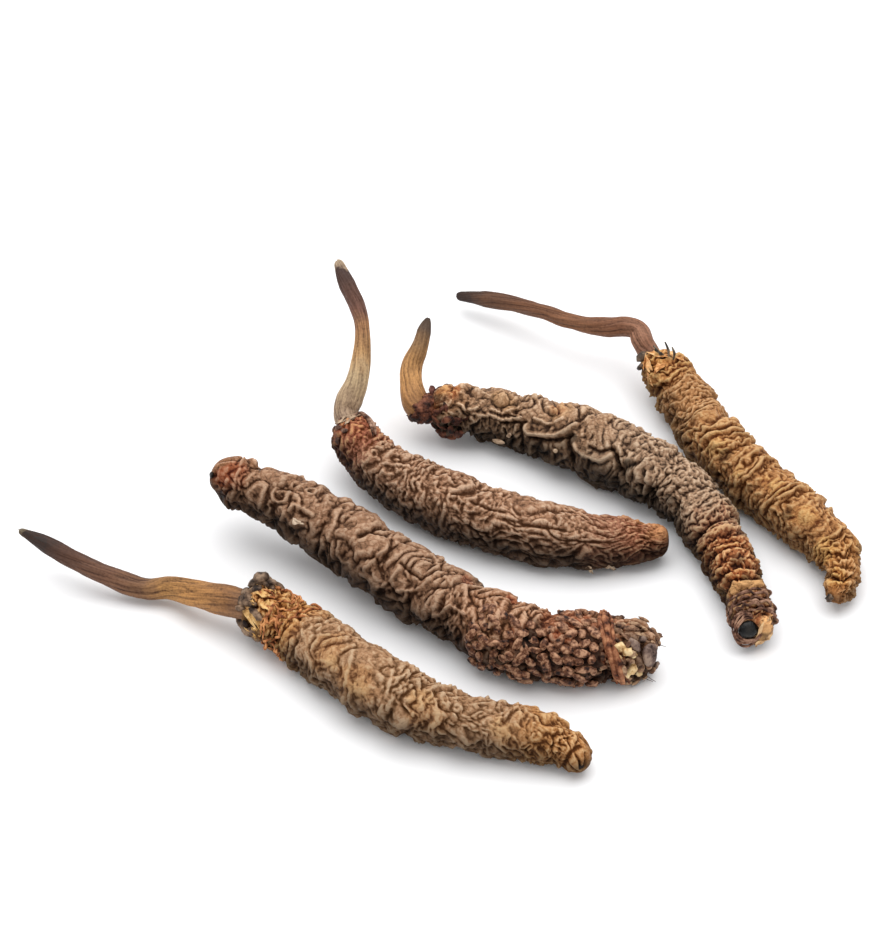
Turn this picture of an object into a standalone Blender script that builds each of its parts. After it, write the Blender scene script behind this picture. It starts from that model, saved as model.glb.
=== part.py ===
"""A bundle of five dried cordyceps, lying loose on a flat surface.

Each is the wrinkled husk of a larva, and four of them keep the stalk of the fungus that grew from
the head. Lengths are metres with +Z up, and the origin is on the surface, under the middle of the
bundle. The stations that give each piece its line and girth are millimetres.
"""

import math

import bmesh
import bpy
from mathutils import Vector

MM = 0.001

# Stations (x, y, z, radius) along each piece, from the head end of a husk and from the foot of a stalk.
FRONT_HUSK = [
    (-16.4, -13.4, 3.0, 1.9), (-14.7, -14.0, 2.9, 2.3), (-12.3, -15.6, 2.4, 2.5), (-8.7, -19.3, 2.6, 2.7),
    (-4.6, -23.3, 2.7, 2.8), (-0.1, -26.0, 2.5, 2.6), (4.8, -27.2, 2.2, 2.3), (8.0, -28.0, 2.1, 2.2),
    (10.2, -29.2, 1.7, 1.8), (11.5, -31.0, 1.6, 1.0),
]
BROAD_HUSK = [
    (-19.5, 0.8, 5.8, 1.4), (-17.1, -0.5, 5.5, 2.3), (-13.2, -2.5, 4.9, 2.6), (-8.9, -5.1, 4.1, 2.8),
    (-3.4, -10.0, 3.3, 2.9), (1.6, -13.9, 2.8, 2.9), (6.5, -17.4, 3.0, 3.1), (11.5, -18.3, 2.7, 2.8),
    (15.8, -18.3, 2.3, 2.4), (17.7, -18.9, 2.4, 1.4),
]
MIDDLE_HUSK = [
    (-8.2, 9.1, 4.2, 1.8), (-6.9, 6.8, 3.8, 2.3), (-4.6, 3.9, 3.2, 2.6), (-0.9, 1.0, 2.8, 2.9),
    (3.4, -1.5, 2.7, 2.8), (7.6, -3.4, 2.6, 2.7), (12.3, -4.4, 2.4, 2.5), (16.1, -4.1, 2.1, 2.1),
    (19.5, -3.9, 2.2, 1.3),
]
ARCHED_HUSK = [
    (-0.9, 12.3, 3.3, 1.7), (0.9, 12.5, 3.1, 2.2), (5.3, 12.2, 2.4, 2.5), (9.7, 9.9, 2.7, 2.8),
    (14.5, 7.1, 2.9, 3.0), (18.4, 4.1, 2.9, 2.9), (21.8, 0.1, 2.7, 2.8), (23.9, -4.4, 2.2, 2.3),
    (25.1, -8.7, 2.1, 2.2), (25.9, -12.7, 2.2, 2.1), (26.2, -16.0, 2.1, 1.7),
]
REAR_HUSK = [
    (19.2, 19.6, 3.2, 1.9), (20.6, 16.8, 3.0, 2.3), (22.5, 12.9, 2.4, 2.5), (24.8, 7.4, 2.5, 2.6),
    (28.3, 2.0, 2.6, 2.6), (31.3, -2.1, 2.5, 2.5), (33.8, -5.6, 2.0, 2.1), (33.9, -8.9, 1.9, 1.6),
    (33.0, -11.1, 1.7, 0.9),
]
FRONT_STALK = [
    (-17.6, -12.7, 2.9, 1.4), (-20.2, -11.3, 2.4, 1.2), (-22.9, -9.6, 1.6, 1.0), (-25.0, -9.4, 1.3, 0.9),
    (-28.0, -8.5, 1.9, 0.9), (-31.5, -7.0, 2.8, 0.8), (-34.1, -5.7, 3.5, 0.6), (-35.9, -4.8, 3.9, 0.3),
]
MIDDLE_STALK = [
    (-8.4, 10.5, 4.5, 1.1), (-8.1, 11.2, 5.3, 1.2), (-7.4, 12.0, 6.6, 1.0), (-7.0, 13.7, 8.3, 0.8),
    (-6.9, 15.2, 9.9, 0.6), (-7.4, 16.9, 11.3, 0.7), (-8.3, 18.1, 12.7, 0.7), (-9.2, 19.9, 14.0, 0.4),
]
ARCHED_STALK = [
    (-2.1, 12.5, 3.4, 1.1), (-2.5, 13.3, 3.8, 1.1), (-2.7, 14.4, 4.5, 0.9), (-2.6, 15.7, 5.5, 0.9),
    (-1.9, 16.6, 6.8, 0.8), (-1.5, 17.6, 7.8, 0.7), (-1.1, 18.6, 8.6, 0.3),
]
REAR_STALK = [
    (18.7, 20.4, 3.5, 1.0), (18.2, 21.2, 4.1, 1.0), (17.9, 22.0, 4.5, 0.9), (17.1, 22.5, 4.6, 0.9),
    (14.9, 23.0, 4.2, 0.9), (12.2, 24.2, 3.8, 0.7), (9.6, 26.2, 3.4, 0.6), (6.8, 28.2, 2.8, 0.7),
    (4.1, 29.8, 2.2, 0.8), (1.5, 31.0, 1.6, 0.4),
]

# What stands out from the husks: (x, y, z, radius) of each lump that is fused on, in millimetres.
FRONT_LUMPS = [
    (-16.3, -12.4, 4.1, 0.9), (-15.4, -12.8, 4.6, 0.8),     # the knobs of the collar round the head
    (-3.0, -25.9, 0.9, 0.9), (1.6, -27.6, 0.9, 0.9), (-8.8, -21.1, 1.0, 0.8),     # near leg stumps
]
BROAD_LUMPS = [     # grains crowded on the tail
    (15.4, -19.1, 3.9, 0.9), (16.5, -19.5, 3.3, 0.9), (17.4, -19.5, 2.4, 0.9),
    (16.6, -19.8, 1.9, 0.8), (17.4, -18.4, 2.7, 0.9), (16.1, -17.7, 3.3, 0.9),
]
MIDDLE_LUMPS = [(-7.0, 9.4, 5.2, 0.8)]     # the lifted rim of the collar
ARCHED_LUMPS = [
    (25.9, -15.7, 2.4, 1.2), (26.8, -15.5, 2.0, 0.9),     # the plug and the torn flap of the tail
    (9.2, 8.3, 1.1, 0.9), (14.0, 5.7, 1.1, 1.0),     # leg stumps on the near side
]
REAR_LUMPS = [     # flakes at the head
    (19.8, 18.9, 4.2, 0.8), (20.6, 18.2, 4.2, 0.8), (18.5, 18.6, 3.6, 0.7),
]
BROAD_STRAP = (13.6, -18.3, 2.5, 2.9)     # centre and radius of the fibre wrapped round the tail

HUSK_SIDES = 14
RING_PITCH = 1.75     # from one body ring to the next
RING_DEPTH = 0.18     # groove between two rings, as a share of the girth
RING_UNEVENNESS = 0.25     # share of that depth which comes and goes along the husk
RING_WAVE = 1.9       # turn, in radians, of that coming and going from one half ring to the next
END_LENGTH = 0.9      # over which an end rounds off
END_GIRTHS = ((0.0, 0.0), (0.66, 0.08))     # girth, and share of that length, up to the end's shoulder
SHOULDER_GIRTH = 0.9
FOLD_FADE = 2.5       # over which the folds die away towards a tip
KNOB_SIZE = 2.1       # width of the small cushions that the dried skin shrinks into
KNOB_HEIGHT = 1.2
KNOB_MIDDLE = 0.27     # share of that height which lies below the girth
SAG_SIZE = 6.0        # width of the broad dents where the husk has shrunk
SAG_HEIGHT = 0.5
SAG_MIDDLE = 0.5
STRAP_WIDTH = 1.0
SURFACE_SIZE = 200    # side of the block that cuts every husk flat where it rests

FINISHES = {     # linear colour and roughness
    "ochre husk": ((0.20, 0.11, 0.05), 0.75),
    "brown husk": ((0.13, 0.08, 0.055), 0.75),
    "umber husk": ((0.14, 0.085, 0.055), 0.75),
    "grey husk": ((0.16, 0.12, 0.085), 0.8),
    "golden husk": ((0.26, 0.13, 0.045), 0.7),
    "brown stalk": ((0.12, 0.065, 0.035), 0.6),
}


def clear_scene():
    for thing in list(bpy.data.objects):
        bpy.data.objects.remove(thing, do_unlink=True)


def new_collection(name):
    collection = bpy.data.collections.new(name)
    bpy.context.scene.collection.children.link(collection)
    return collection


def finish_of(name):
    """The material of that name, made the first time it is asked for."""
    if name in bpy.data.materials:
        return bpy.data.materials[name]
    colour, roughness = FINISHES[name]
    material = bpy.data.materials.new(name)
    material.use_nodes = True
    shader = material.node_tree.nodes["Principled BSDF"]
    shader.inputs["Base Color"].default_value = (*colour, 1.0)
    shader.inputs["Roughness"].default_value = roughness
    shader.inputs["Metallic"].default_value = 0.0
    return material


def keep_as_helper(helper):
    """Cutters and guides shape the pieces and are no part of them."""
    helpers.objects.link(helper)
    helper.hide_render = True
    helper.display_type = "WIRE"


def line_through(name, stations):
    """Curve data that runs smoothly through the stations and swells to their radii."""
    data = bpy.data.curves.new(name, "CURVE")
    data.dimensions = "3D"
    data.resolution_u = 3
    line = data.splines.new("BEZIER")
    line.bezier_points.add(len(stations) - 1)
    for point, (x, y, z, radius) in zip(line.bezier_points, stations):
        point.co = Vector((x, y, z)) * MM
        point.radius = radius
        point.handle_left_type = point.handle_right_type = "AUTO"
    return data


def ringed_profile(length):
    """Half the outline of a straight husk of girth 1 mm, from its tail to its head, both on the axis."""
    rings = round(length / RING_PITCH)
    steps = 2 * rings
    outline = [(girth, length - share * END_LENGTH) for girth, share in END_GIRTHS]
    for step in range(steps, -1, -1):
        along = END_LENGTH + (length - 2 * END_LENGTH) * step / steps
        wave = 1 - RING_UNEVENNESS + RING_UNEVENNESS * math.sin(RING_WAVE * step)
        rise = RING_DEPTH * wave / 2
        radius = 1.0 + rise if step % 2 else 1.0 - rise
        if step in (0, steps):
            radius = SHOULDER_GIRTH
        outline.append((radius, along))
    outline += [(girth, share * END_LENGTH) for girth, share in reversed(END_GIRTHS)]
    return outline


def noise_texture(name, kind, size):
    texture = bpy.data.textures.new(name, kind)
    texture.noise_scale = size * MM
    return texture


def knobs_texture():
    """Bright in the middle of each cushion and dark along the creases between them."""
    if "knobs" in bpy.data.textures:
        return bpy.data.textures["knobs"]
    texture = noise_texture("knobs", "VORONOI", KNOB_SIZE)
    texture.weight_1 = -1.0
    texture.weight_2 = 1.0
    return texture


def sags_texture():
    if "sags" in bpy.data.textures:
        return bpy.data.textures["sags"]
    texture = noise_texture("sags", "CLOUDS", SAG_SIZE)
    texture.noise_depth = 1
    return texture


def weigh_ends(piece, outline, length):
    """A vertex group, 1 along the body and fading to 0 at the tips, which are too thin for deep folds."""
    group = piece.vertex_groups.new(name="body")
    for index, (_, along) in enumerate(outline):
        to_tip = min(along, length - along)
        group.add([index], min(1.0, to_tip / FOLD_FADE), "REPLACE")


def push_out(piece, name, texture, height, middle):
    swell = piece.modifiers.new(name, "DISPLACE")
    swell.vertex_group = "body"
    swell.texture = texture
    swell.texture_coords = "LOCAL"
    swell.strength = height * MM
    swell.mid_level = middle


def fuse(piece, shape, operation="UNION"):
    keep_as_helper(shape)
    join = piece.modifiers.new(shape.name, "BOOLEAN")
    join.operation = operation
    join.object = shape


def ball(name, centre, radius):
    mesh = bpy.data.meshes.new(name)
    shape = bmesh.new()
    bmesh.ops.create_icosphere(shape, subdivisions=1, radius=radius * MM)
    shape.to_mesh(mesh)
    shape.free()
    lump = bpy.data.objects.new(name, mesh)
    lump.location = Vector(centre) * MM
    return lump


def band(name, centre, radius, direction):
    """A wrap of fibre round a husk that runs in that direction: a short drum that shows only its rim."""
    mesh = bpy.data.meshes.new(name)
    drum = bmesh.new()
    bmesh.ops.create_cone(drum, cap_ends=True, segments=HUSK_SIDES, radius1=radius * MM,
                          radius2=radius * MM, depth=STRAP_WIDTH * MM)
    drum.to_mesh(mesh)
    drum.free()
    wrap = bpy.data.objects.new(name, mesh)
    wrap.location = Vector(centre) * MM
    wrap.rotation_euler = Vector(direction).to_track_quat("Z", "Y").to_euler()
    return wrap


def husk(name, finish, stations, lumps):
    """A turned, ringed blank, bent along its stations, shrunk into cushions and fused with its lumps."""
    guide = bpy.data.objects.new(name + "_line", line_through(name + "_line", stations))
    keep_as_helper(guide)
    bpy.context.view_layer.update()
    length = guide.data.splines[0].calc_length() / MM

    outline = ringed_profile(length)
    mesh = bpy.data.meshes.new(name)
    mesh.from_pydata([(radius * MM, 0, along * MM) for radius, along in outline],
                     [(i, i + 1) for i in range(len(outline) - 1)], [])
    piece = bpy.data.objects.new(name, mesh)
    parts.objects.link(piece)
    mesh.materials.append(finish_of(finish))
    weigh_ends(piece, outline, length)

    turn = piece.modifiers.new("turn", "SCREW")
    turn.axis = "Z"
    turn.steps = turn.render_steps = HUSK_SIDES
    turn.use_merge_vertices = True
    turn.merge_threshold = 0.00001
    turn.use_smooth_shade = True
    bend = piece.modifiers.new("bend", "CURVE")
    bend.object = guide
    bend.deform_axis = "POS_Z"
    push_out(piece, "sags", sags_texture(), SAG_HEIGHT, SAG_MIDDLE)
    push_out(piece, "knobs", knobs_texture(), KNOB_HEIGHT, KNOB_MIDDLE)

    for number, (x, y, z, radius) in enumerate(lumps, start=1):
        fuse(piece, ball(f"{name}_lump_{number}", (x, y, z), radius))
    return piece


def press_flat(piece):
    """The husk has no material below the surface that it rests on."""
    rest = piece.modifiers.new("rest", "BOOLEAN")
    rest.operation = "DIFFERENCE"
    rest.object = surface


def stalk(name, stations):
    """A thin tapering stalk, round in section."""
    data = line_through(name, stations)
    data.bevel_depth = MM
    data.bevel_resolution = 2
    data.use_fill_caps = True
    data.materials.append(finish_of("brown stalk"))
    piece = bpy.data.objects.new(name, data)
    parts.objects.link(piece)
    return piece


clear_scene()
parts = new_collection("cordyceps bundle")
helpers = new_collection("guides and cutters")

block = bpy.data.meshes.new("surface")
sides = bmesh.new()
bmesh.ops.create_cube(sides, size=SURFACE_SIZE * MM)
sides.to_mesh(block)
sides.free()
surface = bpy.data.objects.new("surface", block)
surface.location.z = -SURFACE_SIZE / 2 * MM
keep_as_helper(surface)

husk("front_husk", "ochre husk", FRONT_HUSK, FRONT_LUMPS)
broad_husk = husk("broad_husk", "brown husk", BROAD_HUSK, BROAD_LUMPS)
husk("middle_husk", "umber husk", MIDDLE_HUSK, MIDDLE_LUMPS)
husk("arched_husk", "grey husk", ARCHED_HUSK, ARCHED_LUMPS)
husk("rear_husk", "golden husk", REAR_HUSK, REAR_LUMPS)

*strap_centre, strap_radius = BROAD_STRAP
tail, before_tail = Vector(BROAD_HUSK[-2][:3]), Vector(BROAD_HUSK[-3][:3])
fuse(broad_husk, band("broad_strap", strap_centre, strap_radius, tail - before_tail))

for piece in list(parts.objects):
    press_flat(piece)

stalk("front_stalk", FRONT_STALK)
stalk("middle_stalk", MIDDLE_STALK)
stalk("arched_stalk", ARCHED_STALK)
stalk("rear_stalk", REAR_STALK)
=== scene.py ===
# %% [markdown]
# # A bundle of dried cordyceps
# Five dried larvae lie loose on a pale table. Each is a wrinkled husk, and four of them keep the thin
# stalk of the fungus that grew out of the head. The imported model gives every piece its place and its
# girth. This lesson dresses it: it shrinks fine folds into the skins, adds the torn threads, grains and
# flakes at the ends, and paints everything with materials made from nodes.
#
# All lengths in the lists are millimetres, because that is how such small things are measured. Blender
# works in metres, so MM turns one into the other.

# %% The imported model
import math

import bmesh
import bpy
import numpy as np
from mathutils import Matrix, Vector
from mathutils.bvhtree import BVHTree
from mathutils.kdtree import KDTree


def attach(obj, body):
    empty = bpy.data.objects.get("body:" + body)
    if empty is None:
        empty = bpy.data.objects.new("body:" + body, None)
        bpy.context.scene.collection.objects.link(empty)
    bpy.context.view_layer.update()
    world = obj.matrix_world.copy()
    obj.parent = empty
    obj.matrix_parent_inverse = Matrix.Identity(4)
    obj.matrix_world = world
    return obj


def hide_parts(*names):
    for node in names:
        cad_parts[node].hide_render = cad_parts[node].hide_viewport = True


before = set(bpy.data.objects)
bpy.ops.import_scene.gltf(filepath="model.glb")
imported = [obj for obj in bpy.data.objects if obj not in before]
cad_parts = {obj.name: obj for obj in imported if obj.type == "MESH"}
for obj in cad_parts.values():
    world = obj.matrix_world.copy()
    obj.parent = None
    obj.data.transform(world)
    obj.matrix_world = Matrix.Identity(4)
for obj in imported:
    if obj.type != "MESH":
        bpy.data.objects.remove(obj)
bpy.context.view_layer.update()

MM = 0.001
print("nodes:", ", ".join(sorted(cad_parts)))

# %% [markdown]
# ## The line of each piece
# Every husk and stalk follows a smooth line through a few stations: x, y, z and the radius there. They
# are the same stations that the solids were built from, so the dressed pieces lie exactly in their
# place. Husks run from the head to the tail, and stalks from the foot to the tip.

# %% Stations of the husks
FRONT_HUSK = [
    (-16.4, -13.4, 3.0, 1.9), (-14.7, -14.0, 2.9, 2.3), (-12.3, -15.6, 2.4, 2.5),
    (-8.7, -19.3, 2.6, 2.7), (-4.6, -23.3, 2.7, 2.8), (-0.1, -26.0, 2.5, 2.6),
    (4.8, -27.2, 2.2, 2.3), (8.0, -28.0, 2.1, 2.2), (10.2, -29.2, 1.7, 1.8),
    (11.5, -31.0, 1.6, 1.0),
]
BROAD_HUSK = [
    (-19.5, 0.8, 5.8, 1.4), (-17.1, -0.5, 5.5, 2.3), (-13.2, -2.5, 4.9, 2.6),
    (-8.9, -5.1, 4.1, 2.8), (-3.4, -10.0, 3.3, 2.9), (1.6, -13.9, 2.8, 2.9),
    (6.5, -17.4, 3.0, 3.1), (11.5, -18.3, 2.7, 2.8), (15.8, -18.3, 2.3, 2.4),
    (17.7, -18.9, 2.4, 1.4),
]
MIDDLE_HUSK = [
    (-8.2, 9.1, 4.2, 1.8), (-6.9, 6.8, 3.8, 2.3), (-4.6, 3.9, 3.2, 2.6),
    (-0.9, 1.0, 2.8, 2.9), (3.4, -1.5, 2.7, 2.8), (7.6, -3.4, 2.6, 2.7),
    (12.3, -4.4, 2.4, 2.5), (16.1, -4.1, 2.1, 2.1), (19.5, -3.9, 2.2, 1.3),
]
ARCHED_HUSK = [
    (-0.9, 12.3, 3.3, 1.7), (0.9, 12.5, 3.1, 2.2), (5.3, 12.2, 2.4, 2.5),
    (9.7, 9.9, 2.7, 2.8), (14.5, 7.1, 2.9, 3.0), (18.4, 4.1, 2.9, 2.9),
    (21.8, 0.1, 2.7, 2.8), (23.9, -4.4, 2.2, 2.3), (25.1, -8.7, 2.1, 2.2),
    (25.9, -12.7, 2.2, 2.1), (26.2, -16.0, 2.1, 1.7),
]
REAR_HUSK = [
    (19.2, 19.6, 3.2, 1.9), (20.6, 16.8, 3.0, 2.3), (22.5, 12.9, 2.4, 2.5),
    (24.8, 7.4, 2.5, 2.6), (28.3, 2.0, 2.6, 2.6), (31.3, -2.1, 2.5, 2.5),
    (33.8, -5.6, 2.0, 2.1), (33.9, -8.9, 1.9, 1.6), (33.0, -11.1, 1.7, 0.9),
]

# %% Stations of the stalks
FRONT_STALK = [
    (-17.6, -12.7, 2.9, 1.4), (-20.2, -11.3, 2.4, 1.2), (-22.9, -9.6, 1.6, 1.0),
    (-25.0, -9.4, 1.3, 0.9), (-28.0, -8.5, 1.9, 0.9), (-31.5, -7.0, 2.8, 0.8),
    (-34.1, -5.7, 3.5, 0.6), (-35.9, -4.8, 3.9, 0.3),
]
MIDDLE_STALK = [
    (-8.4, 10.5, 4.5, 1.1), (-8.1, 11.2, 5.3, 1.2), (-7.4, 12.0, 6.6, 1.0),
    (-7.0, 13.7, 8.3, 0.8), (-6.9, 15.2, 9.9, 0.6), (-7.4, 16.9, 11.3, 0.7),
    (-8.3, 18.1, 12.7, 0.7), (-9.2, 19.9, 14.0, 0.4),
]
ARCHED_STALK = [
    (-2.1, 12.5, 3.4, 1.1), (-2.5, 13.3, 3.8, 1.1), (-2.7, 14.4, 4.5, 0.9),
    (-2.6, 15.7, 5.5, 0.9), (-1.9, 16.6, 6.8, 0.8), (-1.5, 17.6, 7.8, 0.7),
    (-1.1, 18.6, 8.6, 0.3),
]
REAR_STALK = [
    (18.7, 20.4, 3.5, 1.0), (18.2, 21.2, 4.1, 1.0), (17.9, 22.0, 4.5, 0.9),
    (17.1, 22.5, 4.6, 0.9), (14.9, 23.0, 4.2, 0.9), (12.2, 24.2, 3.8, 0.7),
    (9.6, 26.2, 3.4, 0.6), (6.8, 28.2, 2.8, 0.7), (4.1, 29.8, 2.2, 0.8),
    (1.5, 31.0, 1.6, 0.4),
]

# %% [markdown]
# ## The camera
# The picture to match looks along +Y and forty degrees down, from far enough that the husks hardly
# shrink with distance. A long lens a third of a metre away does that. The same numbers let a later
# cell ask which point of a husk lies under a pixel of the picture.

# %% The camera
PICTURE_WIDTH, PICTURE_HEIGHT = 877, 930
LENS = 144.3
SENSOR = 36.0
AIM = Vector((-0.2, 8.5, 0.0)) * MM
CAMERA_DISTANCE = 0.33
CAMERA_ELEVATION = math.radians(40)

back = Vector((0, -math.cos(CAMERA_ELEVATION), math.sin(CAMERA_ELEVATION)))
bpy.ops.object.camera_add(location=AIM + CAMERA_DISTANCE * back)
camera = bpy.context.object
camera.name = "picture_camera"
camera.rotation_euler = (-back).to_track_quat("-Z", "Y").to_euler()
camera.data.lens = LENS
camera.data.sensor_width = SENSOR
camera.data.clip_start = 0.001
bpy.context.scene.camera = camera
print("camera at", [round(c, 4) for c in camera.location])

# %% [markdown]
# ## Three helpers for materials
# A colour picked from a screen is an sRGB hex code, while a shader calculates with linear light, so one
# function turns the first into the second. Another starts a material, and a third adds one node with its
# settings and its links, so that every material below reads as a list of its nodes.

# %% Colours from hex codes
def hex_colour(code):
    """The linear colour that a shader socket takes, from an sRGB hex code."""
    parts = [int(code[i:i + 2], 16) / 255 for i in (1, 3, 5)]
    linear = [c / 12.92 if c <= 0.04045 else ((c + 0.055) / 1.055) ** 2.4 for c in parts]
    return (*linear, 1.0)


# %% One node with its settings and links
def add_node(tree, kind, settings=None, sockets=None):
    """Adds a node and sets its properties. Each socket gets a number or colour, or a link from an output."""
    node = tree.nodes.new(kind)
    for name, value in (settings or {}).items():
        setattr(node, name, value)
    for name, value in (sockets or {}).items():
        if isinstance(value, bpy.types.NodeSocket):
            tree.links.new(value, node.inputs[name])
        else:
            node.inputs[name].default_value = value
    return node


# %% A new material
def new_material(name, specular, roughness=0.5):
    """A material, its node tree and its shader, with the strength of its gloss and its roughness."""
    material = bpy.data.materials.new(name)
    material.use_nodes = True
    shader = material.node_tree.nodes["Principled BSDF"]
    shader.inputs["Roughness"].default_value = roughness
    shader.inputs["Specular IOR Level"].default_value = specular
    return material, material.node_tree, shader


# %% [markdown]
# ## The table and the light
# Small dried goods are shown on a white table under a wide soft light. It comes from above and a little
# behind, so every husk throws a short, soft shadow towards the viewer. A pale world fills the rest.

# %% The table
TABLE_SIZE = 3.0     # metres, so that no view sees its edge

bpy.ops.object.select_all(action="DESELECT")
bpy.ops.mesh.primitive_plane_add(size=TABLE_SIZE)
table = bpy.context.object
table.name = "table"
# uncoated paper: its loose fibres scatter the light, so it is bright and has no shine
paper, _, paper_shader = new_material("matt uncoated paper", specular=0.1, roughness=0.9)
paper_shader.inputs["Base Color"].default_value = hex_colour("#f2f2f3")
table.data.materials.append(paper)
print("table:", TABLE_SIZE, "m wide")

# %% The light
LIGHT_PLACE = Vector((0.0, 0.14, 0.60))
LIGHT_SIZE = 0.80      # metres
LIGHT_POWER = 4.0      # watts
ROOM_STRENGTH = 0.86

bpy.ops.object.light_add(type="AREA", location=LIGHT_PLACE)
lamp = bpy.context.object
lamp.name = "overhead_light"
lamp.data.size = LIGHT_SIZE
lamp.data.energy = LIGHT_POWER
lamp.rotation_euler = (LIGHT_PLACE - AIM).to_track_quat("Z", "Y").to_euler()
world = bpy.data.worlds.new("white room")
bpy.context.scene.world = world
world.use_nodes = True
sky = world.node_tree.nodes["Background"]
sky.inputs["Color"].default_value = (1, 1, 1, 1)
sky.inputs["Strength"].default_value = ROOM_STRENGTH
bpy.context.scene.view_settings.view_transform = "Standard"
print("lamp:", LIGHT_SIZE, "m wide,", LIGHT_POWER, "W")

# %% [markdown]
# ## A straight blank
# A husk is a closed tube that tapers at both ends. It could be skinned straight along its curved line,
# but folds are far easier to lay out on a straight tube, like cloth on a table. So each husk starts as
# a straight blank of girth 1 mm: a disc whose rim is extruded and resized over the head, pulled out to
# the tail, cut into rings and closed again. A bend along the stations comes later and gives the girth.

# %% The blank
TUBE_SIDES = 48
RING_SPACING = 0.4     # millimetres, before the blank is subdivided twice
ROUND_END = [(0.30, 0.0), (0.58, 0.07), (0.80, 0.25), (0.94, 0.55), (1.0, 0.95)]     # girth, along
MOST_CUTS = 100        # the subdivide operator takes no more
SAME_HEIGHT = 0.01     # millimetres that two heights may differ and still count as one


def select_edges(shape, wanted):
    """Selects, in edit mode, the edges whose two heights pass the test, and nothing else."""
    bpy.ops.mesh.select_mode(type="EDGE")
    bpy.ops.mesh.select_all(action="DESELECT")
    net = bmesh.from_edit_mesh(shape.data)
    for edge in net.edges:
        low, high = sorted(vertex.co.z / MM for vertex in edge.verts)
        edge.select_set(wanted(low, high))
    bmesh.update_edit_mesh(shape.data)


def extrude_rim(rise, growth):
    """Pulls the selected rim along by that many millimetres, and makes it that many times wider."""
    bpy.ops.mesh.extrude_region_move(TRANSFORM_OT_translate={"value": (0, 0, rise * MM)})
    bpy.ops.transform.resize(value=(growth, growth, 1))


def blank(name, length, sides, spacing, ends):
    """A straight closed tube of girth 1 mm that stands on its head, from z = 0 up to the length."""
    first_girth = ends[0][0]
    bpy.ops.object.select_all(action="DESELECT")
    bpy.ops.mesh.primitive_circle_add(vertices=sides, radius=first_girth * MM, fill_type="TRIFAN")
    shape = bpy.context.object
    shape.name = shape.data.name = name
    bpy.ops.object.mode_set(mode="EDIT")
    bpy.ops.mesh.select_mode(type="VERT")
    bpy.ops.mesh.select_all(action="SELECT")
    bpy.ops.mesh.region_to_loop()
    for (girth, along), (last_girth, last_along) in zip(ends[1:], ends[:-1]):
        extrude_rim(along - last_along, girth / last_girth)
    end_length = ends[-1][1]
    body = length - 2 * end_length
    cuts = min(MOST_CUTS, round(body / spacing) - 1)
    extrude_rim(body, 1.0)
    middle, top = length / 2, length - end_length
    select_edges(shape, lambda low, high: low < middle < high)
    bpy.ops.mesh.subdivide(number_cuts=cuts)
    select_edges(shape, lambda low, high: top - SAME_HEIGHT < low and high < top + SAME_HEIGHT)
    for (girth, along), (last_girth, last_along) in zip(ends[-2::-1], ends[:0:-1]):
        extrude_rim(last_along - along, girth / last_girth)
    bpy.ops.mesh.extrude_region_move(TRANSFORM_OT_translate={"value": (0, 0, 0)})
    bpy.ops.mesh.merge(type="CENTER")
    bpy.ops.mesh.select_all(action="SELECT")
    bpy.ops.mesh.normals_make_consistent(inside=False)
    bpy.ops.object.mode_set(mode="OBJECT")
    return shape


# %% [markdown]
# ## Numbers that stay on the skin
# The blank is the one moment when "how far from the head" and "how far round" are plain coordinates.
# They are kept as attributes, so they are still known after the bend.

# %% Attributes
def note(piece, name, values):
    """Keeps one number per vertex on the piece, under that name."""
    layer = piece.data.attributes.get(name)
    if layer is None:
        layer = piece.data.attributes.new(name, "FLOAT", "POINT")
    layer.data.foreach_set("value", np.asarray(values, np.float32))
    piece.data.update()


def noted(piece, name):
    """Reads those numbers back."""
    values = np.empty(len(piece.data.vertices), np.float32)
    piece.data.attributes[name].data.foreach_get("value", values)
    return values.astype(float)


def points_of(piece):
    """The vertices, in millimetres."""
    flat = np.empty(len(piece.data.vertices) * 3, np.float32)
    piece.data.vertices.foreach_get("co", flat)
    return flat.reshape(-1, 3).astype(float) / MM


def place_points(piece, points):
    """Moves the vertices to those points, in millimetres."""
    piece.data.vertices.foreach_set("co", (points * MM).astype(np.float32).ravel())
    piece.data.update()


def normals_of(piece):
    """The direction outwards at each vertex."""
    flat = np.empty(len(piece.data.vertices) * 3, np.float32)
    piece.data.vertex_normals.foreach_get("vector", flat)
    return flat.reshape(-1, 3).astype(float)


def above_table(points, gap=0.02):
    """The points, with those below the gap over the table lifted to it, in millimetres."""
    points[:, 2] = np.maximum(points[:, 2], gap)
    return points


# %% [markdown]
# ## The same numbers in every run
# Edit mode's operators number the points of a tube in an order that changes from run to run. A random
# draw among numbered points would then hit other places each time. So the blank is numbered anew, ring
# by ring from the head, and round each ring.

# %% Numbering by place
def renumber(shape, sides):
    """Numbers the vertices by height, girth and angle, and the faces by their vertices. Rounding first
    takes out the last digits, which change too, and the + 0.0 turns a -0.0 into 0.0."""
    points = np.round(points_of(shape), 5) + 0.0
    sector = np.round(np.arctan2(points[:, 1], points[:, 0]) / (2 * math.pi) * sides) % sides
    girth = np.round(np.hypot(points[:, 0], points[:, 1]), 3)
    order = np.lexsort((sector, girth, np.round(points[:, 2], 3)))
    new_number = np.argsort(order)
    faces = []
    for face in shape.data.polygons:
        corners = new_number[list(face.vertices)].tolist()
        first = corners.index(min(corners))
        faces.append(corners[first:] + corners[:first])
    shape.data.clear_geometry()
    shape.data.from_pydata((points[order] * MM).tolist(), [], sorted(faces))
    shape.data.update()


# %% [markdown]
# ## The bend
# Subdividing twice rounds the blank and makes it fine enough for the smallest folds. A curve through the
# stations carries their radii, and a Curve modifier lays the blank along it. The curve is thrown away
# once the modifier is applied.

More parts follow.
